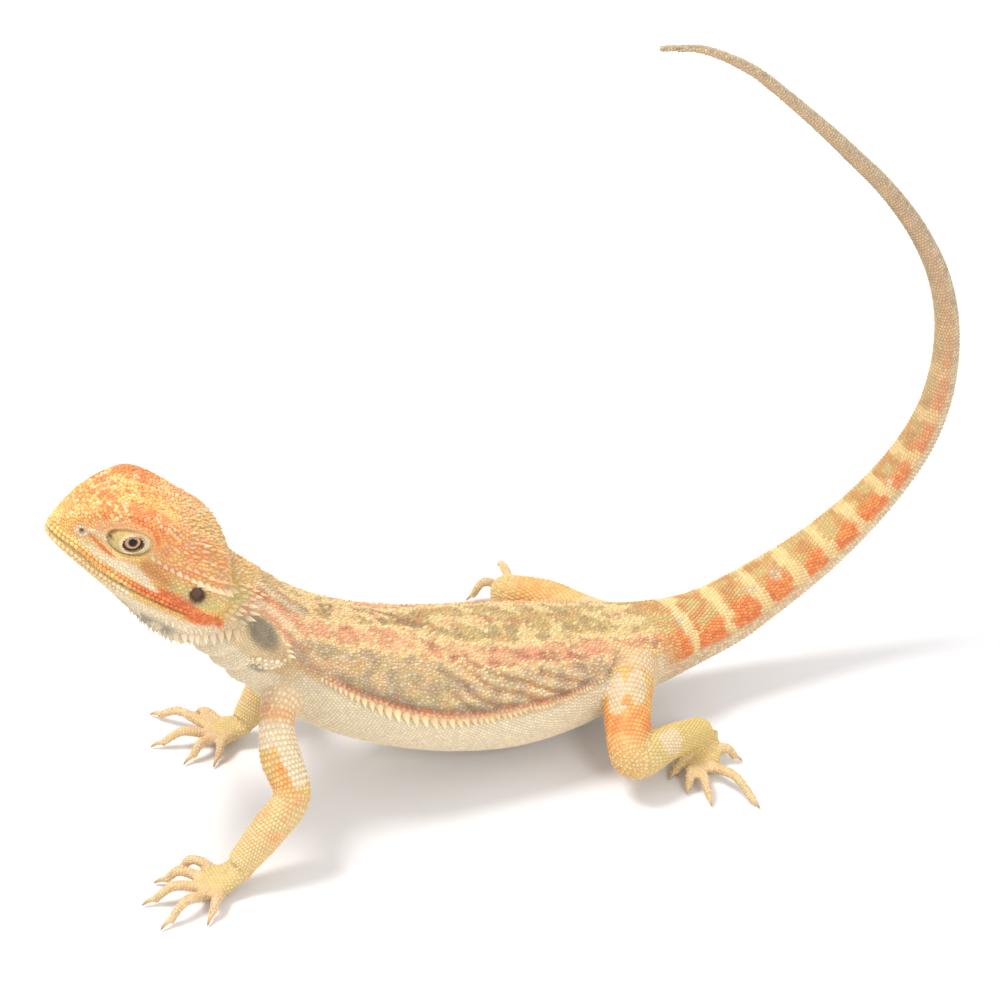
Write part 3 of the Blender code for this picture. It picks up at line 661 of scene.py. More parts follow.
def soften_joints(bm):
    """Rounds the skin off where the limbs leave the trunk."""
    points = corners_of(bm)
    spine = BODY.locate(points)[2]
    joint = np.zeros(len(points), bool)
    for name in LIMBS:
        along, _, out = TUBES[name].locate(points)
        joint |= (out < 1.7) & (spine < 1.55) & (along < 13)
    rounded(bm, [vert for vert, inside in zip(bm.verts, joint) if inside], 14)


def skin_object():
    """The skin, with its shapes sculpted in, in the animal's own millimetres."""
    skin = fused_skin()
    bm = bmesh.new()
    bm.from_mesh(skin.data)
    soften_joints(bm)
    refine(bm, on_face)
    refine(bm, near_eye)
    bm.normal_update()
    points = corners_of(bm)
    normals = np.array([vert.normal for vert in bm.verts])
    on_head = ramp(-0.05, 0.1, BODY.locate(points)[2] - TUBES["head"].locate(points)[2])
    relief = on_head * face_relief(points) + (1 - on_head) * body_relief(points)
    points = lids(points + normals * relief[:, None])
    points[:, 2] = np.maximum(points[:, 2], 0.06)
    for vert, point in zip(bm.verts, points):
        vert.co = point * MM
    bmesh.ops.triangulate(bm, faces=[face for face in bm.faces if len(face.verts) > 4])
    bm.normal_update()
    bm.to_mesh(skin.data)
    bm.free()
    skin.data.shade_smooth()
    return skin


class Surface:
    """The finished skin, to find places on it."""

    def __init__(self, obj):
        mesh = obj.data
        flat = np.empty(len(mesh.vertices) * 3)
        mesh.vertices.foreach_get("co", flat)
        self.points = flat.reshape(-1, 3) / MM
        mesh.vertices.foreach_get("normal", flat)
        self.normals = flat.reshape(-1, 3).copy()
        faces = [tuple(face.vertices) for face in mesh.polygons]
        self.tree = BVHTree.FromPolygons(self.points.tolist(), faces)
        self.corners = KDTree(len(self.points))
        for i, point in enumerate(self.points):
            self.corners.insert(point, i)
        self.corners.balance()

    def nearest(self, points):
        """The nearest place on the skin to each point, the way out of the skin there, and the distance."""
        spots, outs, gaps = np.empty((len(points), 3)), np.empty((len(points), 3)), np.empty(len(points))
        for i, point in enumerate(points):
            spot, _, _, gap = self.tree.find_nearest(Vector(point))
            spots[i], gaps[i] = spot, gap
            outs[i] = np.mean([self.normals[k] for _, k, _ in self.corners.find_n(spot, 3)], axis=0)
        return spots, unit(outs), gaps


# ---------------------------------------------------------------- places and markings


def noise(points, size, seed):
    """Soft random values, mostly from 0 to 1, that change over the given size in millimetres."""
    at = points / size + np.array((17.3, 5.1, 9.7)) * (seed + 1)
    return 0.5 + 0.62 * np.array([perlin(point) for point in at.tolist()])


def mix(low, high, share):
    return low + (high - low) * share


FAR_OFF = 9  # added to the distance from a mark of the head where the mark doesn't count


class Places:
    """Where points of the skin lie on the animal."""

    def __init__(self, points):
        self.points = points
        self.charts = {name: tube.locate(points) for name, tube in TUBES.items()}
        outs = np.stack([chart[2] for chart in self.charts.values()])
        self.owner = np.array(list(self.charts))[outs.argmin(axis=0)]
        self.back, self.side, self.up = head_place(points)
        self.left = np.abs(self.side)
        self.along, self.angle, self.spine_out = self.charts["spine"]
        turned = np.abs((self.angle - math.pi / 2 + math.pi) % (2 * math.pi) - math.pi)
        self.round = turned / math.pi  # 0 along the back, 0.5 at the side, 1 under the belly
        self.head = self.charts["head"][2]
        self.ear = np.hypot(self.back - EAR_BACK, self.up - EAR_UP) + FAR_OFF * (self.left < 9)
        self.nostril = np.hypot(self.back - NOSTRIL[0], self.up - NOSTRIL[2]) + FAR_OFF * (self.left < 2.5)

    def noise(self, size, seed):
        return noise(self.points, size, seed)

    def share(self, name):
        """1 where the named stretch is the skin, falling off softly at its edges."""
        others = np.stack([chart[2] for other, chart in self.charts.items() if other != name])
        return ramp(-0.12, 0.12, others.min(axis=0) - self.charts[name][2])


# Each marking is an amount from 0 to 1 of one of these colours, laid over the ground in the order of LAYERS.
GROUND_COLOUR = (0.60, 0.42, 0.19)
COLOURS = {
    "yellow": (0.93, 0.60, 0.20),
    "orange": (0.92, 0.325, 0.09),
    "red": (0.76, 0.17, 0.055),
    "cream": (0.93, 0.79, 0.55),
    "pink": (0.87, 0.52, 0.34),
    "lime": (0.68, 0.53, 0.20),
    "slate": (0.20, 0.185, 0.165),
    "dark": (0.13, 0.055, 0.035),
}
LAYERS = ("yellow", "lime", "orange", "red", "pink", "cream", "slate", "dark")
STAINS = ("red", "dark", "slate", "orange", "pink", "lime")  # what a yellow or cream line covers


def bare(count):
    return {name: np.zeros(count) for name in COLOURS}


def over(m, where, **amounts):
    """Lays markings over those before them, each as strong as where and its own amount say."""
    for name, amount in amounts.items():
        m[name] = np.maximum(m[name], np.clip(where * amount, 0, 1))


def fade(m, where, *names):
    """Takes the given markings away, all of them unless some are named."""
    for name in names or m:
        m[name] = m[name] * (1 - np.clip(where, 0, 1))


# Lines of the head against the distance back from its tip: heights of their middles, and half widths.
JOWL_LINE = (
    (4, 0.9), (7, 0.8), (9, 0.4), (13, 0.2), (17, 0.1), (19.5, 0.3), (22, 0.8), (25, 1.0), (28, 0.8),
    (30, 0.1), (32, -0.5), (34.5, -0.9), (37, -2.0), (39.5, -2.8),
)
JOWL_HALF = (
    (4, 0.3), (9, 0.5), (17, 0.7), (19.5, 1.0), (22, 1.8), (28, 1.9), (30, 1.7), (32, 1.8), (34.5, 1.7),
    (37, 1.3), (40, 0.6),
)
WHITE_LINE = ((5, 2.4), (8, 1.9), (10, 1.7), (13, 1.9), (16, 2.3), (18, 2.1), (20.5, 1.5))
WHITE_HALF = ((5, 0.2), (8, 0.6), (10, 0.9), (13, 1.2), (16, 1.4), (18, 1.2), (20.5, 0.5))


def across_line(p, line, half):
    """How far from a line of the head each place lies, 1 at the line's edges."""
    return np.abs(p.up - profile(line, p.back)) / profile(half, p.back)


def crown_markings(m, p, crown):
    """Fine orange streaks over a yellow tan crown, fading to olive behind."""
    lengthwise = np.stack([p.back / 2.6 + 0.5 * p.up, p.left, p.up], axis=1)
    wave, thread = noise(lengthwise, 1.5, 1), noise(lengthwise, 0.66, 31)
    fine, wide = p.noise(0.8, 2), p.noise(4.5, 3)
    front = fall(15, 26, p.back + 5 * (wide - 0.5) + 3 * (wave - 0.5))
    streaks = ramp(0.36, 0.60, 0.5 * wave + 0.5 * thread + 0.35 * (wide - 0.5))
    over(m, 1, yellow=0.85 + 0.15 * front - 0.35 * ramp(18, 26, p.back) * crown)
    over(
        m, crown,
        orange=(0.25 + 0.75 * front) * (0.24 + 0.70 * streaks) * ramp(-1.5, 3.5, p.back),
        red=0.60 * front * ramp(0.52, 0.66, thread + 0.3 * (wide - 0.5)) * ramp(1, 4, p.back),
        cream=0.40 * ramp(0.62, 0.78, fine),
    )
    over(
        m, crown * (1 - front),
        pink=0.35 * ramp(0.54, 0.68, wave),
        orange=0.60 * ramp(0.52, 0.66, thread),
        lime=0.35 + 0.5 * ramp(0.40, 0.56, wide),
    )
    to_eye = distance(p.points, np.where(p.side[:, None] > 0, EYES[1], EYES[-1]))
    over(
        m, ramp(8.2, 9.6, p.up) * between(8, 10, 17, 20, p.back) * ramp(4.5, 6, p.left),
        orange=0.85 * bump(to_eye, 6.6, 1.6),
        red=0.65 * (bump(to_eye, 6.3, 0.35) + bump(to_eye, 7.6, 0.35)),
    )


def snout_markings(m, p, side, fine, mid):
    """Orange over a pale snout, with a cream fold from nostril to eye and an orange stroke under it."""
    back, up = p.back, p.up
    snout = side * ramp(1.0, 2.5, up) * fall(12, 15, back) * ramp(5, 7, back)
    over(m, snout, cream=0.25)
    over(m, side * fall(14, 16, back) * ramp(5.4, 6.4, up), orange=0.35 + 0.5 * ramp(0.3, 0.6, fine))
    over(m, side * fall(6, 8, back) * ramp(1.8, 3.2, up), orange=0.45 * ramp(0.38, 0.58, mid))
    fold = side * bump(up - profile(EYE_FOLD, back), 0, 0.42) * between(4.8, 6.2, 11, 12.5, back)
    fade(m, 0.9 * fold, "orange", "red", "yellow")
    over(m, fold, cream=0.9)
    stroke = snout * bump(up, 4.45 - 0.31 * (back - 6.5), 0.50) * fall(11.5, 13, back)
    fade(m, stroke, "cream", "pink")
    over(m, stroke, orange=1, red=0.6 * stroke)


def face_markings(m, p, side):
    """Orange temple, olive round the ear, a vivid corner of the mouth and a pale stripe under the eye."""
    back, up = p.back, p.up
    fine, mid = p.noise(0.8, 2), p.noise(2.2, 32)
    snout_markings(m, p, side, fine, mid)
    stroke = between(15.5, 18, 22, 25, back) * bump(up, 4.6 - 0.12 * (back - 18), 1.5)
    over(m, side * stroke, orange=0.6, dark=0.34)
    over(
        m, ramp(4.6, 6.2, up) * between(16.5, 19, 33, 38, back) * ramp(4, 8, p.left),
        orange=0.285 + 0.57 * ramp(0.40, 0.58, 0.5 * (fine + mid)),
        red=0.65 * ramp(0.52, 0.72, fine) * fall(27, 32, back),
        cream=0.30 * ramp(0.55, 0.70, fine),
        yellow=0.8 * ramp(0.45, 0.60, mid),
        lime=0.5 * ramp(0.56, 0.68, p.noise(3.0, 43)),
    )
    olive = side * ramp(21.5, 24, back) * between(1.8, 2.8, 4.8, 6.0, up)
    fade(m, 0.85 * olive, "orange", "red")
    over(m, olive, lime=0.85, cream=0.2 * ramp(0.5, 0.7, fine))
    jowl = fall(0.75, 1.15, across_line(p, JOWL_LINE, JOWL_HALF) + 0.5 * (fine - 0.5))
    over(
        m, jowl * between(5, 7, 39, 41, back),
        orange=0.85 + 0.15 * ramp(15, 20, back),
        red=0.95 * ramp(10, 20, back) * (0.25 + 0.75 * ramp(0.30, 0.62, fine)),
        yellow=ramp(0.70, 0.80, fine),
    )
    white = fall(0.70, 1.15, across_line(p, WHITE_LINE, WHITE_HALF) + 0.4 * (fine - 0.5))
    patch = side * white * between(3, 6, 20.5, 22.5, back)
    fade(m, patch, "orange", "red", "dark", "lime")
    over(m, patch, cream=0.88, pink=0.25 * fall(8, 12, back))
    over(m, side * between(12.5, 15, 19, 21, back) * bump(up, 3.6 - 0.15 * (back - 13), 0.7), pink=0.6)


def jaw_markings(m, p):
    """Yellow lower labials in front, a cream jaw, grey between the spikes of the beard, and painted shade
    along the mouth's slit.
    """
    back, up = p.back, p.up
    fine = p.noise(0.8, 33)
    below = profile(MOUTH_LINE, back) - up
    jaw = ramp(0.1, 0.6, below + 0.35 * (up < -3))
    jaw = np.where(back > 18, ramp(0.9, 2.0, below + 0.5 * (fine - 0.5)), jaw)
    fade(m, jaw, "orange", "red", "yellow", "lime")
    over(m, jaw, cream=0.84, yellow=0.4)
    labials = jaw * fall(1.7, 2.5, below) * fall(13, 18, back)
    fade(m, labials * 0.75, "cream")
    over(m, labials, yellow=0.55 + 0.45 * fall(2, 8, back))
    over(m, jaw * ramp(14, 19, back), pink=0.55 * fall(2.4, 3.4, below))
    over(m, jaw * ramp(15, 20, back), orange=0.5 * fall(2.0, 3.0, below) * ramp(0.45, 0.65, fine))
    over(
        m, jaw * between(14, 18, 34, 39, back) * ramp(3.0, 5.0, below),
        slate=0.20 + 0.52 * ramp(0.26, 0.48, p.noise(2.6, 4)) * (1 - 0.8 * ramp(27, 30, back)),
        pink=0.2 + 0.25 * ramp(24, 30, back),
    )
    lips = between(9, 16, MOUTH_CORNER - 3, MOUTH_CORNER, back)
    # painted shade: a dark line along the slit of the closed mouth, stronger along the lips
    over(m, bump(below, 0, 0.15) * (back < MOUTH_CORNER), dark=0.85 * (0.35 + 0.65 * lips))


def eye_markings(m, p):
    """Green yellow lids, paler at the rim and behind, painted shade in the crease round them and inside the
    opening, and a dark front corner.
    """
    for sign, eye in EYES.items():
        out, ring, rim = lid_places(p.points, sign)
        _, back, up = eye_place(p.points, sign)
        near = (out > 0) & (distance(p.points, eye) < 6.3)
        lid = near * fall(1.0, 1.15, ring)
        fade(m, lid)
        over(
            m, lid,
            yellow=0.45,
            lime=0.55 + 0.30 * ramp(0.5, -1.5, back),
            cream=np.maximum(0.75 * bump(rim, 1.38, 0.16), 0.65 * ramp(1.4, 2.6, back)),
            orange=0.45 * bump(ring, 0.82, 0.10) * ramp(0.6, 1.8, up),
            dark=0.30 * bump(rim, 1.14, 0.08),
        )
        # painted shade in the crease round the lids, deeper below and in front
        over(m, near * bump(ring, 1.10, 0.07), dark=0.22 + 0.50 * ramp(1.2, -0.8, up + 0.5 * back))
        over(m, out > -1.5, dark=0.9 * bump(np.hypot(back + 3.9, (up - 0.1) * 1.5), 0, 0.55))
        # painted shade on the skin inside the opening, round the eyeball
        over(m, near, dark=fall(1.0, 1.08, rim))


def head_markings(p):
    """Everything on the head, from the crown down to the beard."""
    m = bare(len(p.points))
    crown = ramp(-3.4, -1.2, p.up - profile(CANTHUS_HEIGHT, p.back))
    crown_markings(m, p, crown)
    face_markings(m, p, 1 - crown)
    jaw_markings(m, p)
    eye_markings(m, p)
    ring = fall(1.0, 1.6, p.nostril)
    fade(m, ring)
    over(m, ring, pink=0.8, cream=0.35)
    # painted shade: dark inside the nostrils and the ear holes
    painted_hole_shade = np.maximum(fall(0.35, 0.6, p.nostril), fall(EAR_RADIUS - 0.15, EAR_RADIUS + 0.15, p.ear))
    over(m, 1, dark=0.9 * painted_hole_shade, slate=0.30 * bump(p.ear, 1.9, 0.5))
    return m


# Lines of the body against the distance along it: how far round they lie, 0 along the back and 1 below.
STRIPE_TOP = (
    (0, 0.20), (12, 0.25), (20, 0.24), (31, 0.14), (42, 0.09), (53, 0.09), (64, 0.14), (75, 0.165),
    (83, 0.16), (100, 0.16), (107, 0.20), (117, 0.24),
)
STRIPE_BOTTOM = (
    (0, 0.42), (12, 0.38), (25, 0.32), (35, 0.26), (46, 0.22), (56, 0.23), (67, 0.26), (79, 0.28), (88, 0.28),
    (100, 0.30), (117, 0.36),
)
FRINGE_LINE = (
    (28, 0.46), (37, 0.483), (42, 0.494), (51, 0.517), (59, 0.528), (68, 0.517), (77, 0.494), (86, 0.478),
    (96, 0.42), (102, 0.37),
)
NECK_EDGE = ((11, 0.31), (16, 0.335), (20, 0.352), (23, 0.375), (25.5, 0.42), (27, 0.47))


def trunk_markings(p):
    """Olive back with yellow blotches, a pink brown band netted with cream, tan flanks and a pale belly."""
    m = bare(len(p.points))
    along, turn = p.along, p.round
    wide, mid, fine = p.noise(7.0, 5), p.noise(3.0, 6), p.noise(1.0, 7)
    neck = fall(22, 32, along)
    top, bottom = profile(STRIPE_TOP, along), profile(STRIPE_BOTTOM, along)
    wavy = 0.055 * (p.noise(3.2, 22) - 0.5) + 0.045 * (p.noise(1.5, 23) - 0.5)
    across = (turn - top + wavy) / (bottom - top)
    back_markings(m, p, fall(-0.30, -0.05, across), wide, mid, fine)
    band_markings(m, p, across, mid, fine, neck)
    below = turn - profile(FRINGE_LINE, along)
    flank_markings(m, p, ramp(1.0, 1.15, across) * fall(-0.02, 0.0, below), mid)
    fringe_markings(m, p, below, wide)
    low = ramp(25, 34, along)
    under = ramp(0.012, 0.05, below) * low + (1 - low) * ramp(0.54, 0.64, turn)
    fade(m, under)
    over(m, under, cream=0.92 + 0.2 * (fine - 0.5), pink=0.16, slate=0.05)
    neck_markings(m, p, neck, wide, fine)
    return m


def back_markings(m, p, back, wide, mid, fine):
    """Yellow blotches and bars on an olive back, with grey and brown shade between them."""
    along, turn = p.along, p.round
    slanted = np.stack([0.55 * along + 14 * turn, 30 * turn, 0.2 * along], axis=1)
    bars = bump(np.sin((along + 3.0 * (wide - 0.5)) * math.pi / 6.4), 0, 0.30) * ramp(55, 75, along)
    rear = ramp(52, 70, along)
    blotch = ramp(0.50, 0.57, 0.7 * noise(slanted, 3.2, 8) + 0.3 * p.noise(1.8, 29) + 0.10 * bars)
    over(m, 1, yellow=0.12 + back * blotch * 0.88)
    over(
        m, back,
        lime=0.55,
        yellow=0.8 * bars * ramp(0.35, 0.6, mid),
        cream=0.28 * blotch,
        red=ramp(0.50, 0.62, p.noise(1.7, 26)) * (0.42 - 0.20 * rear) * (1 - 0.7 * blotch),
    )
    over(
        m, back * (1 - blotch) * (0.35 + 0.65 * ramp(16, 32, along)),
        slate=ramp(0.38, 0.62, mid) * (0.40 - 0.12 * rear) * (1 - bars),
        dark=(1 - 0.8 * bars) * (0.13 + 0.12 * ramp(0.4, 0.6, fine)) * (1 - 0.5 * rear),
    )
    over(m, ramp(0.07, 0.02, turn) * ramp(20, 30, along), red=0.40 * ramp(0.48, 0.62, mid))


def band_markings(m, p, across, mid, fine, neck):
    """The pink brown band along the side, netted with slanting cream lines and edged with them."""
    slanted = np.stack([0.5 * p.along - 16 * p.round, 26 * p.round + 0.12 * p.along, 0.15 * p.along], axis=1)
    net = bump(noise(slanted, 2.9, 24), 0.5, 0.085) + 0.5 * bump(p.noise(2.2, 25), 0.5, 0.05)
    rear = ramp(45, 62, p.along)
    band = between(-0.12, 0.08, 0.90, 1.10, across)
    over(
        m, band,
        pink=0.50,
        orange=0.50 + 0.35 * ramp(0.40, 0.6, mid) + 0.10 * neck,
        red=ramp(0.34, 0.54, noise(slanted, 1.8, 28)) * (0.64 + 0.12 * rear),
        dark=ramp(0.42, 0.62, noise(slanted, 2.2, 36)) * (0.22 + 0.22 * rear),
    )
    edges = bump(across, -0.04, 0.15) + 0.95 * bump(across, 1.0, 0.13) + band * np.minimum(net, 1) * 0.85
    pale = np.clip(edges, 0, 1) * ramp(0.20, 0.45, fine + 0.12)
    fade(m, 0.95 * pale, *STAINS)
    over(m, pale, yellow=1, cream=0.32)


def flank_markings(m, p, flank, mid):
    """Olive tan flanks with pale flecks and grey patches, and yellow crests on the folds before the hips with
    painted shade, dark red brown, in their valleys.
    """
    over(
        m, flank,
        lime=0.35,
        slate=0.12 - 0.05 * ramp(50, 62, p.along) + 0.30 * ramp(0.42, 0.68, mid),
        pink=0.10 + 0.30 * ramp(0.46, 0.62, p.noise(2.2, 27)),
        orange=0.30 * ramp(0.58, 0.76, p.noise(3.0, 10)),
        yellow=0.60 * ramp(0.56, 0.66, p.noise(1.1, 39)),
        cream=0.45 * ramp(0.62, 0.70, p.noise(0.95, 9)),
    )
    crest = flank_folds(p.points, p.along, p.angle)
    # painted shade: the folds' valleys darkened, dark and red; their crests yellow and cream
    over(
        m, flank * between(56, 66, 90, 98, p.along),
        yellow=0.95 * ramp(0.05, 0.60, crest),
        cream=0.40 * ramp(0.35, 0.90, crest),
        red=0.30 * ramp(0.2, 0.9, -crest),
        dark=0.28 * ramp(0.3, 0.95, -crest),
    )
    over(m, flank * ramp(82, 92, p.along), pink=0.45, dark=0.10)


def fringe_markings(m, p, below, wide):
    """A grey shade over each flank's fringe, a red and orange line and a yellow cream ledge of spikes."""
    trunk = between(33, 38, 90, 98, p.along)
    over(
        m, trunk,
        slate=0.55 * bump(below, -0.060, 0.028) * ramp(0.35, 0.6, wide),
        dark=0.42 * bump(below, -0.036, 0.016),
        red=0.9 * bump(below, -0.020, 0.012),
        orange=bump(below, -0.014, 0.016),
    )
    ledge = trunk * bump(below, 0.010, 0.014)
    fade(m, ledge, "dark", "red", "slate")
    over(m, ledge, yellow=1, cream=0.5)


def neck_markings(m, p, neck, wide, fine):
    """Pink brown stripes with pale edges down the neck, a flushed shoulder and a pale rim to its hollow."""
    along, turn = p.along, p.round
    front = neck * ramp(2, 8, along)
    streak = np.sin(turn * 46 + 2.6 * (wide - 0.5) - 0.10 * along)
    over(
        m, front * between(0.08, 0.14, 0.36, 0.46, turn),
        pink=0.35,
        orange=0.10 + 0.60 * ramp(-0.3, 0.5, streak),
        red=0.55 * ramp(0.1, 0.7, streak),
        dark=0.10 * ramp(0.3, 0.9, streak),
        cream=0.55 * ramp(0.1, 0.7, -streak),
        yellow=ramp(0.0, 0.6, -streak),
    )
    over(m, front * fall(0.10, 0.16, turn), cream=0.18)
    low = front * between(0.38, 0.46, 0.56, 0.64, turn)
    over(m, low, lime=0.32, orange=0.08, cream=0.45 - 0.25 * ramp(20, 25, along), pink=0.18)
    chest = between(22, 26, 34, 40, along) * between(0.38, 0.46, 0.60, 0.68, turn)
    over(m, chest, lime=0.30, pink=0.25, dark=0.05 + 0.12 * ramp(0.4, 0.6, fine))
    shoulder = bump(np.hypot((along - 32) / 9, (turn - 0.42) / 0.10), 0, 0.8)
    over(m, shoulder, pink=0.4, orange=0.45 * ramp(0.40, 0.62, fine))
    edge = bump(turn, profile(NECK_EDGE, along), 0.020) * between(10, 13, 26, 28, along)
    fade(m, edge, *STAINS)
    over(m, edge, yellow=1, cream=0.5)
    hollow_markings(m, along, turn, fine, edge)


def pad_line(along):
    """How far round the neck the middle of its pad lies."""
    return 0.596 - 0.019 * (along - 22.1)


def hollow_markings(m, along, turn, fine, edge):
    """The slate hollow behind the jaw, and the pale pad under it."""
    x, y = along - 18.9, 33 * (turn - 0.425)
    hollow = np.hypot((0.966 * x + 0.26 * y) / 5.2, (0.966 * y - 0.26 * x) / 3.0)
    over(m, fall(0.9, 1.3, hollow) * (1 - edge), lime=0.45)
    slate = fall(0.60, 1.18, hollow + 0.25 * (fine - 0.5))
    fade(m, slate, "orange", "yellow", "pink", "cream", "red")
    over(m, slate, slate=0.72 + 0.4 * (fine - 0.5))
    below = turn - pad_line(along)
    pad = fall(0.8, 1.1, np.hypot((along - 23.6) / 3.0, below / 0.040))
    fade(m, pad, "slate", "pink", "lime", "dark")
    over(m, pad, yellow=0.6, cream=0.85)
    over(m, bump(np.hypot((along - 23.2) / 2.0, (below - 0.060) / 0.022), 0, 0.8), slate=0.85)


TAIL_BANDS = (
    109.5, 120.2, 131, 140.5, 150, 159.5, 168.5, 178, 187.5, 198, 209, 220, 230.5, 241, 250.5, 260, 269, 278,
)
# Flakes of shed skin on the tail: place along it, turn and size.
TAIL_FLAKES = ((119.5, 0.17, 1.6), (140.5, 0.22, 1.5), (146.5, 0.20, 1.5), (180.5, 0.30, 1.4))


def tail_markings(p):
    """Narrow yellow bands between olive saddles with orange sides, over a pale chequered underside."""
    m = bare(len(p.points))
    along, turn = p.along, p.round
    mid, fine = p.noise(2.6, 11), p.noise(0.8, 12)
    shifted = along - 3.0 * turn * fall(130, 220, along) + 2.4 * (mid - 0.5) + 1.2 * (fine - 0.5)
    phase = np.interp(shifted, TAIL_BANDS, np.arange(len(TAIL_BANDS)))
    far, vivid = ramp(165, 250, along), ramp(115, 120, along)
    band = fall(0.10, 0.19, np.abs(phase - np.round(phase))) * (1 - 0.7 * far)
    plain = 1 - band
    low = ramp(0.50, 0.56, turn + 0.03 * (mid - 0.5))
    side = ramp(0.20, 0.30, turn + 0.16 * (mid - 0.5)) * (1 - low)
    over(m, 1, yellow=0.25)
    over(m, band * (1 - low), yellow=1, cream=0.30)
    over(m, plain * (1 - low), orange=0.50 * (1 - far) * ramp(0.35, 0.6, mid))
    over(
        m, (1 - side) * plain * (1 - low),
        lime=0.60,
        dark=(0.06 + 0.20 * ramp(0.45, 0.7, mid)) * (1 - 0.4 * far),
    )
    over(
        m, side * plain,
        orange=(1 - 0.85 * far) * (0.92 + 0.5 * (fine - 0.3)) * (0.35 + 0.65 * vivid),
        red=0.66 * ramp(0.34, 0.62, fine) * (1 - far) * (0.5 + 0.5 * vivid),
    )
    over(
        m, low,
        cream=0.52 + 0.2 * band + 0.3 * (fine - 0.5),
        pink=0.35 * plain,
        dark=0.26 * ramp(0.44, 0.62, fine),
        orange=0.50 * plain * fall(150, 200, along) * ramp(0.45, 0.62, mid),
    )
    over(m, far, cream=0.25, pink=0.40 * (1 - low), slate=0.10 + 0.17 * plain)
    for at, across, size in TAIL_FLAKES:
        flake = bump(np.hypot((along - at) / size, (turn - across) * 16 / size) + 0.5 * (fine - 0.5), 0, 0.7)
        over(m, flake, cream=0.7, slate=0.35 * ramp(0.45, 0.6, fine))
    return m


# Where pale old skin still clings: distance along the limb, length, span of angles and middle angle.
SHED = {
    "left_leg": ((13.0, 4.5, 27, -115), (11.1, 3.8, 26, -59), (33.8, 3.0, 54, -70)),
    "right_arm": ((14, 4.5, 70, 100),),
    "right_leg": ((21, 2.0, 34, 75),),
}


def old_skin(name, along, turned, rough):
    """1 where pale old skin clings to the named limb; turned is the angle round it in degrees."""
    found = np.zeros(len(along))
    for at, long, span, middle in SHED.get(name, ()):
        gap = (turned - middle + 180) % 360 - 180
        found = np.maximum(found, fall(0.93, 1.0, np.hypot((along - at) / long, gap / span) + rough))
    if name == "left_arm":
        end = 14.0 + 8.4 * between(-66, -46, 130, 175, turned) + 3.5 * rough
        found = ramp(8.6, 9.4, along + 3 * rough) * fall(-0.2, 0.2, along - end)
    return found


def limb_markings(p):
    """Yellow limbs flushed with orange, with clinging patches of pale old skin."""
    m = bare(len(p.points))
    mid, fine, wide = p.noise(2.6, 13), p.noise(0.9, 14), p.noise(5.0, 15)
    rough = 0.55 * (mid - 0.5) + 0.40 * (fine - 0.5)
    over(m, 1, yellow=0.72 + 0.3 * (fine - 0.4), lime=0.25 * ramp(0.4, 0.7, wide))
    for name in LIMBS:
        along, angle, _ = p.charts[name]
        mine, share, turned = p.share(name), along / TUBES[name].length, np.degrees(angle)
        if name.endswith("leg"):
            leg_markings(m, mine, share, along, mid, fine, 0.3 if name.startswith("right") else 1.0)
        else:
            arm_markings(m, mine, share, along, turned, mid, fine)
        patch = mine * old_skin(name, along, turned, rough)
        fade(m, patch)
        over(m, patch, yellow=0.45, slate=0.04, pink=0.25 + 0.35 * ramp(0.45, 0.6, wide))
        over(m, patch, cream=0.46 if name.endswith("leg") else 0.70)
    return m


def leg_markings(m, mine, share, along, mid, fine, strength):
    """Orange over the middle of the thigh, olive yellow on the shin and a pale fold at the hip."""
    flecks = ramp(0.53, 0.60, 0.6 * fine + 0.4 * mid) * fall(0.42, 0.60, share)
    over(
        m, mine * strength * bump(share, 0.39, 0.12),
        orange=0.48 + 0.44 * ramp(0.34, 0.54, mid),
        red=0.26 * ramp(0.52, 0.70, mid),
    )
    over(m, mine * strength * bump(share, 0.20, 0.06), orange=0.40 * ramp(0.4, 0.6, mid))
    over(
        m, mine,
        yellow=0.9 * bump(share, 0.40, 0.22),
        orange=flecks * (0.55 - 0.2 * strength),
        cream=0.12 * bump(share, 0.56, 0.07),
        lime=0.60 * ramp(0.44, 0.62, share),
    )
    hip = mine * fall(6.0, 8.0, along)
    fade(m, hip * 0.8, "orange", "red")
    over(m, hip, cream=0.35, pink=0.45)


def arm_markings(m, mine, share, along, turned, mid, fine):
    """A pink flush under the shoulder, orange scales before the elbow and a pale yellow forearm."""
    over(m, mine * ramp(0.50, 0.62, share), cream=0.22, lime=0.28)
    over(m, mine * bump(along, 18.5, 4.5) * bump(turned, -62, 26), orange=0.35 + 0.6 * ramp(0.34, 0.56, mid))
    over(m, mine * bump(along, 24, 2.5) * bump(turned, -40, 60), orange=0.4 * ramp(0.46, 0.62, mid))
    over(m, mine * fall(0.80, 0.95, share), orange=0.70 * ramp(0.55, 0.64, 0.6 * fine + 0.4 * mid))
    over(m, mine * fall(5.5, 7.5, along), cream=0.45, pink=0.40, lime=0.30)
    over(m, mine * bump(along, 7.4, 1.8), pink=0.55)
    over(m, mine * bump(along, 7.6, 1.7), orange=0.15 + 0.65 * ramp(0.36, 0.58, mid))


def paw_markings(p):
    """Olive yellow hands and feet with pinker toes."""
    m = bare(len(p.points))
    mid, fine = p.noise(2.4, 16), p.noise(0.8, 17)
    toes = np.isin(p.owner, [f"{paw}_{i}" for paw in FEET for i in range(1, 6)])
    hands = np.array(["hand" in owner for owner in p.owner])
    over(
        m, 1,
        yellow=0.86 + 0.3 * (fine - 0.4),
        lime=(0.20 + 0.35 * ramp(0.35, 0.6, mid)) * (1 - 0.6 * toes),
        cream=0.15 + 0.25 * toes * ramp(0.4, 0.6, fine),
    )
    over(
        m, toes,
        pink=0.10 + 0.14 * hands + 0.25 * ramp(0.4, 0.7, mid),
        lime=0.25 * ~hands,
        orange=0.20 * ramp(0.5, 0.75, fine),
    )
    return m


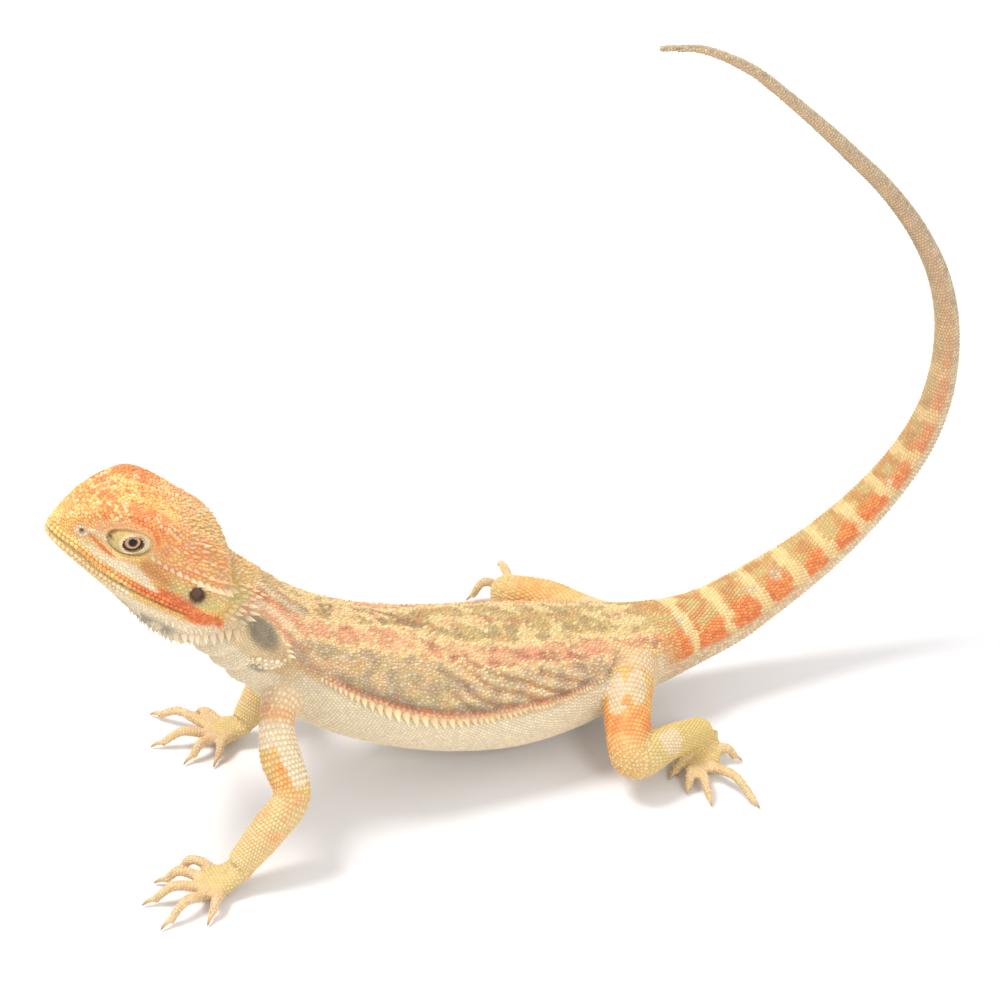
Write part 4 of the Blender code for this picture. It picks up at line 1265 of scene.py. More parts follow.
def markings(p):
    """The amount of every colour at each place, blended where one stretch of the body meets the next."""
    head, trunk, tail = head_markings(p), trunk_markings(p), tail_markings(p)
    limb, paw = limb_markings(p), paw_markings(p)
    outs = {name: chart[2] for name, chart in p.charts.items()}
    limb_out = np.min([outs[name] for name in LIMBS], axis=0)
    paw_out = np.min([outs[name] for name in outs if is_paw(name)], axis=0)
    rough = 0.10 * (p.noise(1.6, 18) - 0.5)
    on_tail = ramp(108, 117, p.along)
    on_neck = ramp(-0.03, 0.14, p.head - p.spine_out + rough)
    on_limb = ramp(-0.10, 0.10, np.minimum(p.head, p.spine_out) - np.minimum(limb_out, paw_out) + rough)
    on_paw = ramp(-0.10, 0.10, limb_out - paw_out + rough)
    found = {}
    for name in COLOURS:
        body = mix(mix(head[name], trunk[name], on_neck), tail[name], on_tail)
        found[name] = mix(body, mix(limb[name], paw[name], on_paw), on_limb)
    return found


# ---------------------------------------------------------------- scales


def scale_shape(corners, shoulder, rise, shift, peak_back):
    """One scale a unit wide, long and high, its tip towards +Y: (corners, faces)."""
    bm = bmesh.new()
    bmesh.ops.create_circle(bm, cap_ends=True, radius=0.5, segments=corners)
    grown = bmesh.ops.extrude_face_region(bm, geom=bm.faces[:], use_keep_orig=True)
    ring = [item for item in grown["geom"] if isinstance(item, bmesh.types.BMVert)]
    top = [item for item in grown["geom"] if isinstance(item, bmesh.types.BMFace)]
    bmesh.ops.scale(bm, vec=(shoulder, shoulder, 1), verts=ring)
    bmesh.ops.translate(bm, vec=(0, shift, rise), verts=ring)
    poked = bmesh.ops.poke(bm, faces=top)
    for vert in poked["verts"]:
        vert.co = (0, peak_back, 1)
    bmesh.ops.recalc_face_normals(bm, faces=bm.faces)
    bmesh.ops.triangulate(bm, faces=bm.faces)
    points = np.array([vert.co for vert in bm.verts])
    faces = np.array([[vert.index for vert in face.verts] for face in bm.faces])
    bm.free()
    return points, faces


SHAPES = {
    "granule": scale_shape(6, 0.72, 0.72, 0.0, 0.0),
    "keeled": scale_shape(6, 0.58, 0.55, 0.10, 0.34),
    "plate": scale_shape(6, 0.80, 0.86, 0.04, 0.06),
    "spike": scale_shape(6, 0.66, 0.46, 0.17, 0.95),
}
SOFT_SHAPES = ("granule", "plate")


class Coat:
    """Every scale: its root on the skin, the ways out and to its tip, its size and its shape."""

    def __init__(self, skin):
        self.skin = skin
        self.rows = {key: [] for key in ("spot", "out", "way", "size", "tilt", "tip")}
        self.kinds = []
        self.cells = {}

    @staticmethod
    def cell(spot):
        """The two millimetre cube that the spot lies in."""
        return tuple(int(math.floor(0.5 * value)) for value in spot)

    def free(self, spot, room):
        """True where no scale's middle lies nearer than the two scales' rooms allow."""
        x, y, z = self.cell(spot)
        for i in (x - 1, x, x + 1):
            for j in (y - 1, y, y + 1):
                for k in (z - 1, z, z + 1):
                    for a, b, c, other in self.cells.get((i, j, k), ()):
                        gap = (a - spot[0]) ** 2 + (b - spot[1]) ** 2 + (c - spot[2]) ** 2
                        if gap < (0.5 * (room + other)) ** 2:
                            return False
        return True

    def add(self, points, ways, sizes, kind, tilt, room, reach=1.0, tip=0.0, keep=None):
        """Sets scales on the skin near the points, wherever there is room for them."""
        spots, outs, gaps = self.skin.nearest(points)
        ways = unit(ways - outs * np.einsum("ij,ij->i", ways, outs)[:, None])
        for i in np.flatnonzero(gaps < reach if keep is None else keep & (gaps < reach)):
            spot = spots[i].tolist()
            own = room * float(sizes[i][0])
            if self.free(spot, own):
                self.cells.setdefault(self.cell(spot), []).append((*spot, own))
                for key, value in zip(self.rows, (spots[i], outs[i], ways[i], sizes[i], tilt, tip)):
                    self.rows[key].append(value)
                self.kinds.append(kind)


# ---------------------------------------------------------------- laying the coat


def sized(count, width, length, height, spread=0.08):
    """Widths, lengths and heights of a run of scales, each a little different."""
    grow = 1 + spread * RANDOM.standard_normal(count).clip(-1.6, 1.6)
    return np.stack([np.broadcast_to(value, count) * grow for value in (width, length, height)], axis=1)


def head_row(coat, points, step, size, kind, way, tilt, room=0.75, tip=0.0, grow=(1, 1)):
    """A row of scales along a line of the head, on both sides, growing along the row."""
    rows = smooth_rows(points, step)
    spots = [head_point(back, side * out, up) for side in (1, -1) for back, out, up in rows]
    growth = np.tile(np.linspace(*grow, len(rows)), 2)[:, None]
    sides = np.repeat([1, -1], len(rows))[:, None]
    ways = way[0] * -FORWARD + way[1] * sides * LEFT + way[2] * UP
    coat.add(np.array(spots), ways, sized(len(spots), *size, 0.06) * growth, kind, tilt, room, 3.0, tip)


# Lines of scales along the head: points back, out to the side and up.
UPPER_LIP = (
    (0.6, 1.9, 1.1), (2, 3.3, 0.9), (5, 5.1, 0.8), (9, 7.2, 0.1), (13, 9.2, -0.4), (18, 11.4, -0.6),
    (24, 13.6, 0.1), (28, 14.3, 0.3),
)
UPPER_LIP_2 = (
    (0.8, 1.9, 2.0), (2, 3.3, 1.8), (5, 5.2, 1.7), (9, 7.2, 0.9), (13, 9.1, 0.5), (18, 11.3, 0.3),
    (24, 13.6, 1.1),
)
LOWER_LIP = (
    (0.6, 1.5, -0.5), (2, 3.1, -0.7), (5, 4.9, -0.9), (9, 6.8, -1.8), (13, 8.8, -2.2), (18, 11.0, -2.4),
)
LOWER_LIP_2 = ((1.5, 2.4, -1.5), (5, 4.7, -1.8), (9, 6.4, -2.7), (13, 8.3, -3.1), (16.5, 9.8, -3.3))
TEMPLE_ROW = (
    (18, 10.1, 6.8), (20.8, 11.3, 6.5), (23.8, 12.6, 6.7), (27, 13.5, 6.6), (30.3, 13.8, 6.5),
    (33.5, 12.6, 6.0), (37.3, 8.2, 4.6),
)
TEMPLE_ROW_2 = ((19.5, 10.2, 8.4), (22.5, 11.4, 8.3), (26, 12.6, 8.4), (30, 13.2, 8.4), (34.5, 11.0, 7.6))
TEMPLE_ROW_3 = ((21, 10.2, 10.3), (24.5, 10.8, 10.3), (28.5, 11.2, 10.2), (33, 9.6, 9.4))
BEARD_ROW = (
    (29.4, 13.2, -6.0), (31.3, 13.5, -5.3), (33.9, 12.5, -5.4), (36.4, 10.5, -5.9), (38.1, 10.6, -4.9),
    (39.6, 11.0, -3.2), (41.2, 11.6, -2.0),
)
BEARD_ROW_2 = (
    (22.0, 10.9, -6.3), (25.2, 12.0, -6.4), (28.0, 12.9, -6.5), (31, 12.4, -8.0), (34, 11.0, -8.0),
    (37, 9.2, -7.6),
)
BEARD_ROW_3 = (
    (26, 13.4, -3.6), (28, 13.9, -3.4), (32, 13.7, -3.4), (36, 11.4, -3.6), (39.2, 11.0, -1.6),
)
BACKWARD = (1, 0, 0)
DOWNWARD = (0.55, 0.35, -0.75)
HEAD_ROWS = (  # line, step, size, shape, way, lean, room, paleness, growth
    (UPPER_LIP, 0.98, (1.10, 1.15, 0.24), "plate", BACKWARD, 3),
    (LOWER_LIP, 1.02, (1.12, 1.15, 0.24), "plate", BACKWARD, 3),
    (UPPER_LIP_2, 0.88, (0.95, 1.02, 0.20), "plate", BACKWARD, 4),
    (LOWER_LIP_2, 0.88, (0.95, 1.02, 0.20), "plate", BACKWARD, 4),
    (TEMPLE_ROW, 1.45, (1.95, 1.60, 0.50), "spike", (1, 0.1, -0.25), 13, 0.6, 0.75, (0.66, 1.25)),
    (TEMPLE_ROW_2, 1.8, (1.35, 1.25, 0.42), "spike", (1, 0.15, -0.1), 12, 0.75, 0.40, (0.75, 1.15)),
    (TEMPLE_ROW_3, 2.1, (1.15, 1.15, 0.42), "spike", (1, 0.15, 0.0), 14, 0.75, 0.20),
    (BEARD_ROW, 1.62, (2.10, 2.30, 0.80), "spike", DOWNWARD, 24, 0.6, 0.9, (0.85, 1.0)),
    (BEARD_ROW_2, 1.75, (1.05, 1.30, 0.46), "spike", DOWNWARD, 24, 0.7, 0.7, (0.7, 1.1)),
    (BEARD_ROW_3, 1.30, (1.05, 1.00, 0.36), "spike", DOWNWARD, 14, 0.7, 0.45),
)
NECK_SPIKES = (  # places along and round the neck, size, lean and paleness
    (((13.6, 0.33), (14.6, 0.365), (14.4, 0.41), (13.6, 0.455)), (1.45, 2.05, 0.72), 24, 1.0),
    (((12.0, 0.35), (12.2, 0.39), (12.0, 0.43), (11.6, 0.475)), (1.3, 1.5, 0.6), 20, 0.85),
    (((10.2, 0.36), (10.3, 0.40), (10.2, 0.44), (10.0, 0.48)), (1.15, 1.15, 0.5), 16, 0.6),
    (((9.4, 0.235), (11.2, 0.215), (13.2, 0.21), (15.2, 0.205)), (1.35, 1.35, 0.5), 15, 0.45),
    (((10.2, 0.265), (12.2, 0.25), (14.2, 0.245), (11.2, 0.30), (13.0, 0.285)), (1.3, 1.3, 0.48), 15, 0.4),
    (((26.2, 0.452), (25.4, 0.43), (24.3, 0.405)), (1.15, 1.5, 0.5), 20, 0.9),
)
NECK_ROW = 13  # the row of the spine's tube that gives the neck spikes their way


def head_rows_of_spikes(coat):
    """The rows that stand out on a bearded dragon's head and neck, before the small scales fill in."""
    for row in HEAD_ROWS:
        head_row(coat, *row)
    for cluster, size, tilt, tip in NECK_SPIKES:
        for sign in (1, -1):
            spots = spine_spots(*np.transpose(cluster), sign)
            way = BODY.way[NECK_ROW] + sign * 0.5 * BODY.side[NECK_ROW] + 0.5 * BODY.up[NECK_ROW]
            ways = np.tile(way, (len(spots), 1))
            coat.add(spots, ways, sized(len(spots), *size), "spike", tilt, 0.6, 3.0, tip)


def spine_spots(along, turn, sign):
    """Places on the spine's tube: turn is 0 along the back and 1 under the belly, sign 1 on the left."""
    return BODY.surface(along, math.pi / 2 - sign * turn * math.pi)


FRINGE_ROWS = (  # step, size, lean, how far below the line, paleness, shape, share of the growth, way down
    (1.72, (2.05, 1.95, 0.66), 16, 0.006, 0.75, "spike", (0.8, 1), 0.95),
    (1.20, (1.25, 1.05, 0.36), 8, -0.013, 0.35, "keeled", (0.3, 0.3), 0.8),
    (1.00, (1.05, 1.00, 0.30), 7, -0.028, 0.0, "keeled", (0.3, 0.3), 0.5),
)
FRINGE_GROWTH = ((33, 0.45), (40, 0.7), (45, 1), (62, 1), (68, 0.72), (76, 0.62), (82, 0.45), (100, 0.35))
FRINGE_START, FRINGE_END = 34, 98


def fringe(coat):
    """The saw edge of soft spikes along each flank, largest behind the arm, over rows of smaller scales."""
    for sign in (1, -1):
        for row, (step, size, tilt, drop, tip, kind, growth, fallen) in enumerate(FRINGE_ROWS):
            alongs = [FRINGE_START + 0.6 * row]
            while alongs[-1] < FRINGE_END:
                alongs.append(alongs[-1] + step * float(profile(FRINGE_GROWTH, alongs[-1])) ** growth[0])
            alongs = np.array(alongs)
            spots = spine_spots(alongs, profile(FRINGE_LINE, alongs) + drop, sign)
            sizes = sized(len(alongs), *size, 0.07) * profile(FRINGE_GROWTH, alongs)[:, None] ** growth[1]
            down = -BODY.read(BODY.up, alongs) * fallen + sign * BODY.read(BODY.side, alongs) * 0.3
            coat.add(spots, BODY.read(BODY.way, alongs) * 0.45 + down, sizes, kind, tilt, 0.5, 2.0, tip)


PAD_ROWS = (-0.030, -0.005, 0.020, 0.042)  # how far round from the pad's middle line
PAD_START, PAD_END, PAD_ROW = 21.0, 26.4, 24


def throat_pad(coat):
    """The pale granular pad at the side of the neck, under the dark patch."""
    for sign in (1, -1):
        spots = []
        for row, drop in enumerate(PAD_ROWS):
            alongs = np.arange(PAD_START + 0.5 * (row % 2), PAD_END - 0.3 * row, 1.0)
            spots.append(spine_spots(alongs, pad_line(alongs) + drop, sign))
        spots = np.concatenate(spots)
        ways = np.tile(BODY.way[PAD_ROW] - 0.5 * BODY.up[PAD_ROW], (len(spots), 1))
        sizes = sized(len(spots), 1.40, 1.20, 0.44, 0.18)
        spots = spots + RANDOM.uniform(-0.2, 0.2, (len(spots), 3))
        coat.add(spots, ways, sizes, "granule", 6, 0.62, 2.0, 0.45)


# Widths of the head's small scales, by region.
HEAD_FIELD = {"crown": 0.86, "rear": 0.90, "side": 0.66, "lid": 0.40, "throat": 0.60, "temple": 0.86}
OFF_LIDS = 99.0


def head_sizes(p):
    """The width of the head's scales at each place, its share of beard and lid, and how high up it is."""
    back, up = p.back, p.up
    crown = ramp(-3.0, -1.0, up - profile(CANTHUS_HEIGHT, back))
    low = fall(-2.6, -1.6, up)
    width = mix(HEAD_FIELD["side"], HEAD_FIELD["crown"], crown)
    width = mix(width, HEAD_FIELD["rear"], ramp(22, 26, back) * ramp(3, 6, up))
    width = mix(width, HEAD_FIELD["temple"], ramp(17, 20, back) * ramp(5.5, 7.5, up) * (1 - crown))
    width = mix(width, HEAD_FIELD["throat"], low) * (0.86 + 0.14 * ramp(1, 6, back))
    to_eye = np.full(len(back), OFF_LIDS)
    for sign, eye in EYES.items():
        out, ring, _ = lid_places(p.points, sign)
        near = (out > 0) & (distance(p.points, eye) < 6.5)
        to_eye = np.minimum(to_eye, np.where(near, ring, OFF_LIDS))
    width = mix(HEAD_FIELD["lid"], width, ramp(0.95, 1.7, to_eye))
    return width, low * ramp(17, 21, back) * ramp(-3.2, -4.4, up), to_eye, crown


def scattered(picks, share):
    """A random share of the picks."""
    return [i for i in picks if RANDOM.uniform() < share]


def head_skin(p):
    """True on the head's own skin, outside the eyes, ears, nostrils and mouth."""
    mine = (p.owner == "head") | (p.back < FACE_END) & (p.spine_out > 1.05) & (p.head < 1.4)
    mouth = np.abs(p.up - profile(MOUTH_LINE, p.back)) + FAR_OFF * (p.back > MOUTH_CORNER + 1)
    mine &= (p.ear > EAR_RADIUS + 0.2) & (p.nostril > 0.75) & (mouth > 0.26)
    for sign, eye in EYES.items():
        out, _, rim = lid_places(p.points, sign)
        mine &= ~((out > 0) & (rim < 1.08) & (distance(p.points, eye) < 6))
    return mine


def fill_head(coat, p):
    """Covers the head with scales from the snout backwards, as closely as their sizes let them lie."""
    width, beard, to_eye, crown = head_sizes(p)
    mine = head_skin(p)
    order = np.lexsort((np.abs(p.side), p.back.round(1)))
    backward = np.tile(-FORWARD, (len(p.back), 1))
    down = -UP - 0.25 * FORWARD + 0.25 * np.sign(p.side)[:, None] * LEFT
    size = ramp(16, 27, p.back) * (1 - 0.35 * ramp(-9, -12, p.up))
    spiny = mine & (beard > 0.5) & (p.up < -7.2)
    picks = scattered([i for i in order if spiny[i]], 0.07)
    big = size[picks]
    spikes = sized(len(picks), 0.85 + 0.15 * big, 1.0 + 0.35 * big, 0.40 + 0.1 * big, 0.15)
    coat.add(p.points[picks], (0.6 * backward + 0.8 * down)[picks], spikes, "spike", 26, 1.1, 1.0, 0.5)
    tall = mine & (crown * ramp(22, 26, p.back) * fall(10, 13, p.left) > 0.3)
    picks = scattered([i for i in order if tall[i]], 0.05)
    spikes = sized(len(picks), 0.95, 1.05, 0.42, 0.2)
    coat.add(p.points[picks], (backward + 0.25 * UP)[picks], spikes, "spike", 18, 0.9, 1.0, 0.10)
    shield = (crown > 0.5) & (p.back < 22)
    groups = (  # shape, where, height and length against the width, lean
        ("granule", mine & (to_eye < 1.4), 0.14, 1.5, 0.0),
        ("plate", mine & (to_eye >= 1.4) & shield, 0.20, 1.28, 3.0),
        ("keeled", mine & (to_eye >= 1.4) & ~shield, 0.30, 1.5, 7.0),
    )
    for kind, chosen, height, length, tilt in groups:
        picks = [i for i in order if chosen[i]]
        wide = width[picks]
        flat = sized(len(picks), 1.22 * wide, wide * length, height * wide, 0.12)
        coat.add(p.points[picks], backward[picks], flat, kind, tilt, 0.66)


def ring_lattice(coat, name, starts, width, length, height, tilt=9.0, uneven=0):
    """Staggered rings of keeled scales along one stretch of the body, each pointing to its far end."""
    tube, reach = TUBES[name], 0.9
    along, row = starts[0], 0
    spots, ways, sizes = [], [], []
    while along < starts[1]:
        wide, long, tall = (float(np.interp(along, *values)) for values in (width, length, height))
        count = max(6, 2 * round(float(tube.girth(along)) / wide / 2))
        turns = (np.arange(count) + 0.5 * (row % 2)) * 2 * math.pi / count + 0.5 * math.pi
        loose = uneven * (np.sin(turns) > 0.05) * (along < 117)
        turns += loose * RANDOM.uniform(-0.9, 0.9, count) * math.pi / count
        here = along + loose * long * RANDOM.uniform(-0.4, 0.4, count)
        spots.append(tube.surface(here, turns, COAT_DEPTH))
        ways.append(np.tile(tube.read(tube.way, along), (count, 1)))
        sizes.append(sized(count, 1.2 * wide, 1.5 * long, tall, 0.07))
        along += long
        row += 1
    spots = np.concatenate(spots)
    mine = Places(coat.skin.nearest(spots)[0]).owner == name
    coat.add(spots, np.concatenate(ways), np.concatenate(sizes), "keeled", tilt, 0.60, reach, keep=mine)


# Sizes of the rings' scales against the distance along the body.
SPINE_ALONG = (0, 14, 26, 40, 60, 100, 112, 125, 180, 230, 290, 340)
SPINE_WIDTH = (SPINE_ALONG, (0.70, 0.62, 0.60, 0.70, 0.74, 0.76, 0.80, 0.84, 0.80, 0.72, 0.64, 0.58))
SPINE_LENGTH = (SPINE_ALONG, (0.64, 0.58, 0.56, 0.66, 0.70, 0.72, 0.82, 0.92, 0.90, 0.80, 0.70, 0.62))
SPINE_HEIGHT = ((0, 60, 100, 125, 180, 340), (0.18, 0.20, 0.22, 0.24, 0.22, 0.16))
PALM_WIDTH, PALM_HEIGHT = ((0, 9), (0.72, 0.66)), ((0, 9), (0.17, 0.15))
TOE_WIDTH, TOE_HEIGHT = ((0, 9), (0.66, 0.58)), ((0, 9), (0.11, 0.09))
LIMB_SCALES = {"arm": (1.22, 0.92, 0.66), "leg": (1.04, 0.92, 0.70)}  # widths at the top, middle and end
LIMB_WIDTH, PAW_WIDTH = 0.85, 0.58  # of the scales that fill gaps there


def back_spines(coat, p):
    """Larger keeled scales scattered in broken rows over the back and the sides of the neck."""
    spine = (p.owner == "spine") & (p.along > 4) & (p.along < 108) & (p.round < 0.36)
    rows = np.sin(p.along * 2 * math.pi / 3.6 + 5 * p.round) > 0.2
    picks = RANDOM.permutation(np.flatnonzero(spine & rows & (p.noise(2.2, 21) > 0.48)))
    big = 0.84 + 0.34 * fall(0.05, 0.30, p.round[picks])
    big *= 0.72 + 0.28 * ramp(14, 34, p.along[picks])
    sizes = sized(len(picks), big, 1.25 * big, 0.42 * big, 0.14)
    coat.add(p.points[picks], BODY.read(BODY.way, p.along[picks]), sizes, "keeled", 14, 1.35, 1.0, 0.12)


def fill_gaps(coat, p):
    """Small scales wherever the skin is still bare."""
    width = np.where(p.owner == "spine", np.interp(p.along, *SPINE_WIDTH), LIMB_WIDTH)
    width = np.where([is_paw(owner) for owner in p.owner], PAW_WIDTH, width)
    order = np.flatnonzero((p.owner != "head") & (p.ear > EAR_RADIUS + 0.05) & (p.points[:, 2] > 0.25))
    ways = BODY.read(BODY.way, p.along)
    for name, tube in TUBES.items():
        if name not in ("spine", "head"):
            here = p.owner == name
            ways[here] = tube.read(tube.way, p.charts[name][0][here])
    wide = width[order]
    sizes = sized(len(order), 1.1 * wide, 1.3 * wide, 0.24 * wide, 0.08)
    coat.add(p.points[order], ways[order], sizes, "keeled", 6, 0.66)


def lay_coat(skin):
    """Every scale, the rows that stand out first: the coat, and the places of the skin's own corners."""
    coat, p = Coat(skin), Places(skin.points)
    head_rows_of_spikes(coat)
    fringe(coat)
    throat_pad(coat)
    fill_head(coat, p)
    back_spines(coat, p)
    ring_lattice(coat, "spine", (3, BODY.length - 0.8), SPINE_WIDTH, SPINE_LENGTH, SPINE_HEIGHT, uneven=1)
    for name in LIMBS:
        full = TUBES[name].length
        width = ((0, 0.6 * full, full), LIMB_SCALES[name.split("_")[1]])
        ring_lattice(coat, name, (2, full + 1), width, width, ((0, full), (0.22, 0.16)), 7)
    for paw in FEET:
        ring_lattice(coat, paw, (0, TUBES[paw].length), PALM_WIDTH, PALM_WIDTH, PALM_HEIGHT)
        for name in (f"{paw}_{i}" for i in range(1, 6)):
            ring_lattice(coat, name, (1, TUBES[name].length + 0.6), TOE_WIDTH, TOE_WIDTH, TOE_HEIGHT, 4)
    fill_gaps(coat, p)
    return coat, p


# ---------------------------------------------------------------- coat meshes

SINK = 0.16  # how deep a scale's root lies in the skin
BAKE_PATCH = 0.003
MOST_SCALES = 8800
LIMB_PIECES = ("arms", "legs", "paws")  # their orange gathers in the seams between scales
SLOTS = {
    "head": "head_skin", "jaw": "jaw_skin", "neck": "body_skin", "trunk": "body_skin", "belly": "body_skin",
    "tail": "tail_skin", "arms": "limb_skin", "legs": "limb_skin", "paws": "limb_skin",
}
CHANNELS = {"warm": ("yellow", "orange", "red"), "pale": ("cream", "pink", "lime"), "cool": ("slate", "dark")}


def in_box(points):
    """The same points, none of them outside the solids' own box."""
    return np.clip(points, *(np.array(corner) for corner in CAD_BOX))


def scale_corners(coat, picks, points):
    """The corners of the chosen scales, all of one shape."""
    keys = ("spot", "out", "way", "size", "tilt")
    spots, outs, ways, sizes, tilts = (np.array([coat.rows[key][i] for i in picks]) for key in keys)
    tilt = np.radians(tilts)[:, None]
    leant = ways * np.cos(tilt) + outs * np.sin(tilt)
    stood = outs * np.cos(tilt) - ways * np.sin(tilt)
    axes = np.stack([np.cross(ways, outs), leant, stood], axis=1) * (sizes + (0, 0, SINK))[:, :, None]
    return (spots - SINK * outs)[:, None] + np.einsum("cj,ijk->ick", points, axes)


def bake_place(p):
    """A place in the unit square for each root: every stretch of the body unrolled into its own panel."""
    panels = {"spine": (0.01, 0.01, 0.98, 0.46), "head": (0.01, 0.5, 0.4, 0.48)}
    for i, name in enumerate(name for name in TUBES if name not in panels):
        panels[name] = (0.44 + 0.11 * (i % 5), 0.5 + 0.08 * (i // 5), 0.1, 0.07)
    uv = np.zeros((len(p.points), 2))
    for name, (left, bottom, width, height) in panels.items():
        along, angle, _ = p.charts[name]
        share = np.clip(along / TUBES[name].length, 0, 1)
        here = p.owner == name
        uv[here, 0] = left + width * share[here]
        uv[here, 1] = bottom + height * ((angle / (2 * math.pi)) % 1.0)[here]
    return uv


def add_vectors(mesh, name, rows):
    """A corner attribute of up to three numbers."""
    values = np.zeros((len(mesh.vertices), 3), np.float32)
    values[:, : len(rows)] = np.transpose(rows)
    mesh.attributes.new(name, "FLOAT_VECTOR", "POINT").data.foreach_set("vector", values.ravel())


def paint(mesh, amounts, rise, tone):
    """Gives every corner the amounts of each colour, its height in its scale and its tone."""
    for name, colours in CHANNELS.items():
        add_vectors(mesh, name, [amounts[colour] for colour in colours])
    add_vectors(mesh, "grain", (rise, tone))


def mesh_of(name, corners, faces, soft):
    """A mesh of triangles, in the frame's metres."""
    mesh = bpy.data.meshes.new(name)
    mesh.vertices.add(len(corners))
    mesh.vertices.foreach_set("co", in_box(placed(corners)).ravel())
    mesh.loops.add(faces.size)
    mesh.loops.foreach_set("vertex_index", faces.ravel())
    mesh.polygons.add(len(faces))
    mesh.polygons.foreach_set("loop_start", np.arange(len(faces)) * 3)
    mesh.update(calc_edges=True)
    mesh.polygons.foreach_set("use_smooth", soft)
    return mesh


def coat_piece(coat, name, picks, amounts, uv, finish):
    """One joined mesh of the chosen scales."""
    rows, start = [], 0
    for shape, (points, sides) in SHAPES.items():
        mine = [i for i in picks if coat.kinds[i] == shape]
        if mine:
            firsts = start + np.arange(len(mine)) * len(points)
            rows.append((
                scale_corners(coat, mine, points).reshape(-1, 3),
                (sides + firsts[:, None, None]).reshape(-1, 3),
                np.repeat(mine, len(points)),
                np.tile(points, (len(mine), 1)),
                np.full(len(mine) * len(sides), shape in SOFT_SHAPES),
            ))
            start += len(mine) * len(points)
    corners, faces, owner, place, soft = (np.concatenate(parts) for parts in zip(*rows))
    mesh = mesh_of(name, corners, faces, soft)
    # each corner's height in its scale, which sets the painted shade of the seams in the finish
    rise = place[:, 2]
    own = {key: value[owner] for key, value in amounts.items()}
    if name.startswith(LIMB_PIECES):
        own["orange"] = np.clip(own["orange"] * (1.35 - 0.72 * rise), 0, 1)
        own["lime"] = np.clip(own["lime"] + 0.35 * (1 - rise), 0, 1)
    paint(mesh, own, rise, coat.tones[owner])
    spots = uv[owner] + place[:, :2] * BAKE_PATCH
    mesh.uv_layers.new(name="OFBake").data.foreach_set("uv", spots[faces.ravel()].astype(np.float32).ravel())
    return shown(name, mesh, finish)


def regions(p):
    """The coat's piece that each scale belongs to."""
    head, spine = p.owner == "head", p.owner == "spine"
    kinds = ("arms" if "arm" in name else "legs" if "leg" in name else "paws" for name in p.owner)
    region = np.array(list(kinds), object)
    region[spine] = "trunk"
    region[spine & (p.round > 0.5)] = "belly"
    region[spine & (p.along < 27)] = "neck"
    region[spine & (p.along >= 106)] = "tail"
    region[head] = "head"
    region[head & (p.up < profile(MOUTH_LINE, p.back) - 0.2)] = "jaw"
    return region


def coat_pieces(coat, finish):
    """The coat in pieces of at most MOST_SCALES scales each, by the region of the body that they cover.
    The coat in pieces small enough to hand on.
    """
    roots = Places(np.array(coat.rows["spot"]))
    amounts = markings(roots)
    tips = np.array(coat.rows["tip"])
    amounts["cream"] = np.maximum(amounts["cream"], 0.75 * tips)
    fade(amounts, 0.75 * tips, "red", "slate", "dark")
    coat.tones = RANDOM.uniform(0, 1, len(coat.kinds))
    uv, region = bake_place(roots), regions(roots)
    for name, slot in SLOTS.items():
        picks = np.flatnonzero(region == name)
        parts = max(1, math.ceil(len(picks) / MOST_SCALES))
        for i in range(parts):
            title = f"{name}_scales" + (f"_{i + 1}" if parts > 1 else "")
            piece = coat_piece(coat, title, picks[i::parts], amounts, uv, finish)
            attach(piece, "root")


# ---------------------------------------------------------------- materials


class Value:
    """A number that varies over a surface, with its arithmetic written as Math nodes."""

    def __init__(self, finish, socket):
        self.finish, self.socket = finish, socket

    def math(self, operation, *others):
        values = [other.socket if isinstance(other, Value) else other for other in others]
        node = self.finish.node("ShaderNodeMath", {"operation": operation}, *values)
        return Value(self.finish, node.outputs[0])

    def __add__(self, other):
        return self.math("ADD", self, other)

    def __sub__(self, other):
        return self.math("SUBTRACT", self, other)

    def __rsub__(self, other):
        return self.math("SUBTRACT", other, self)

    def __mul__(self, other):
        return self.math("MULTIPLY", self, other)

    __radd__, __rmul__ = __add__, __mul__


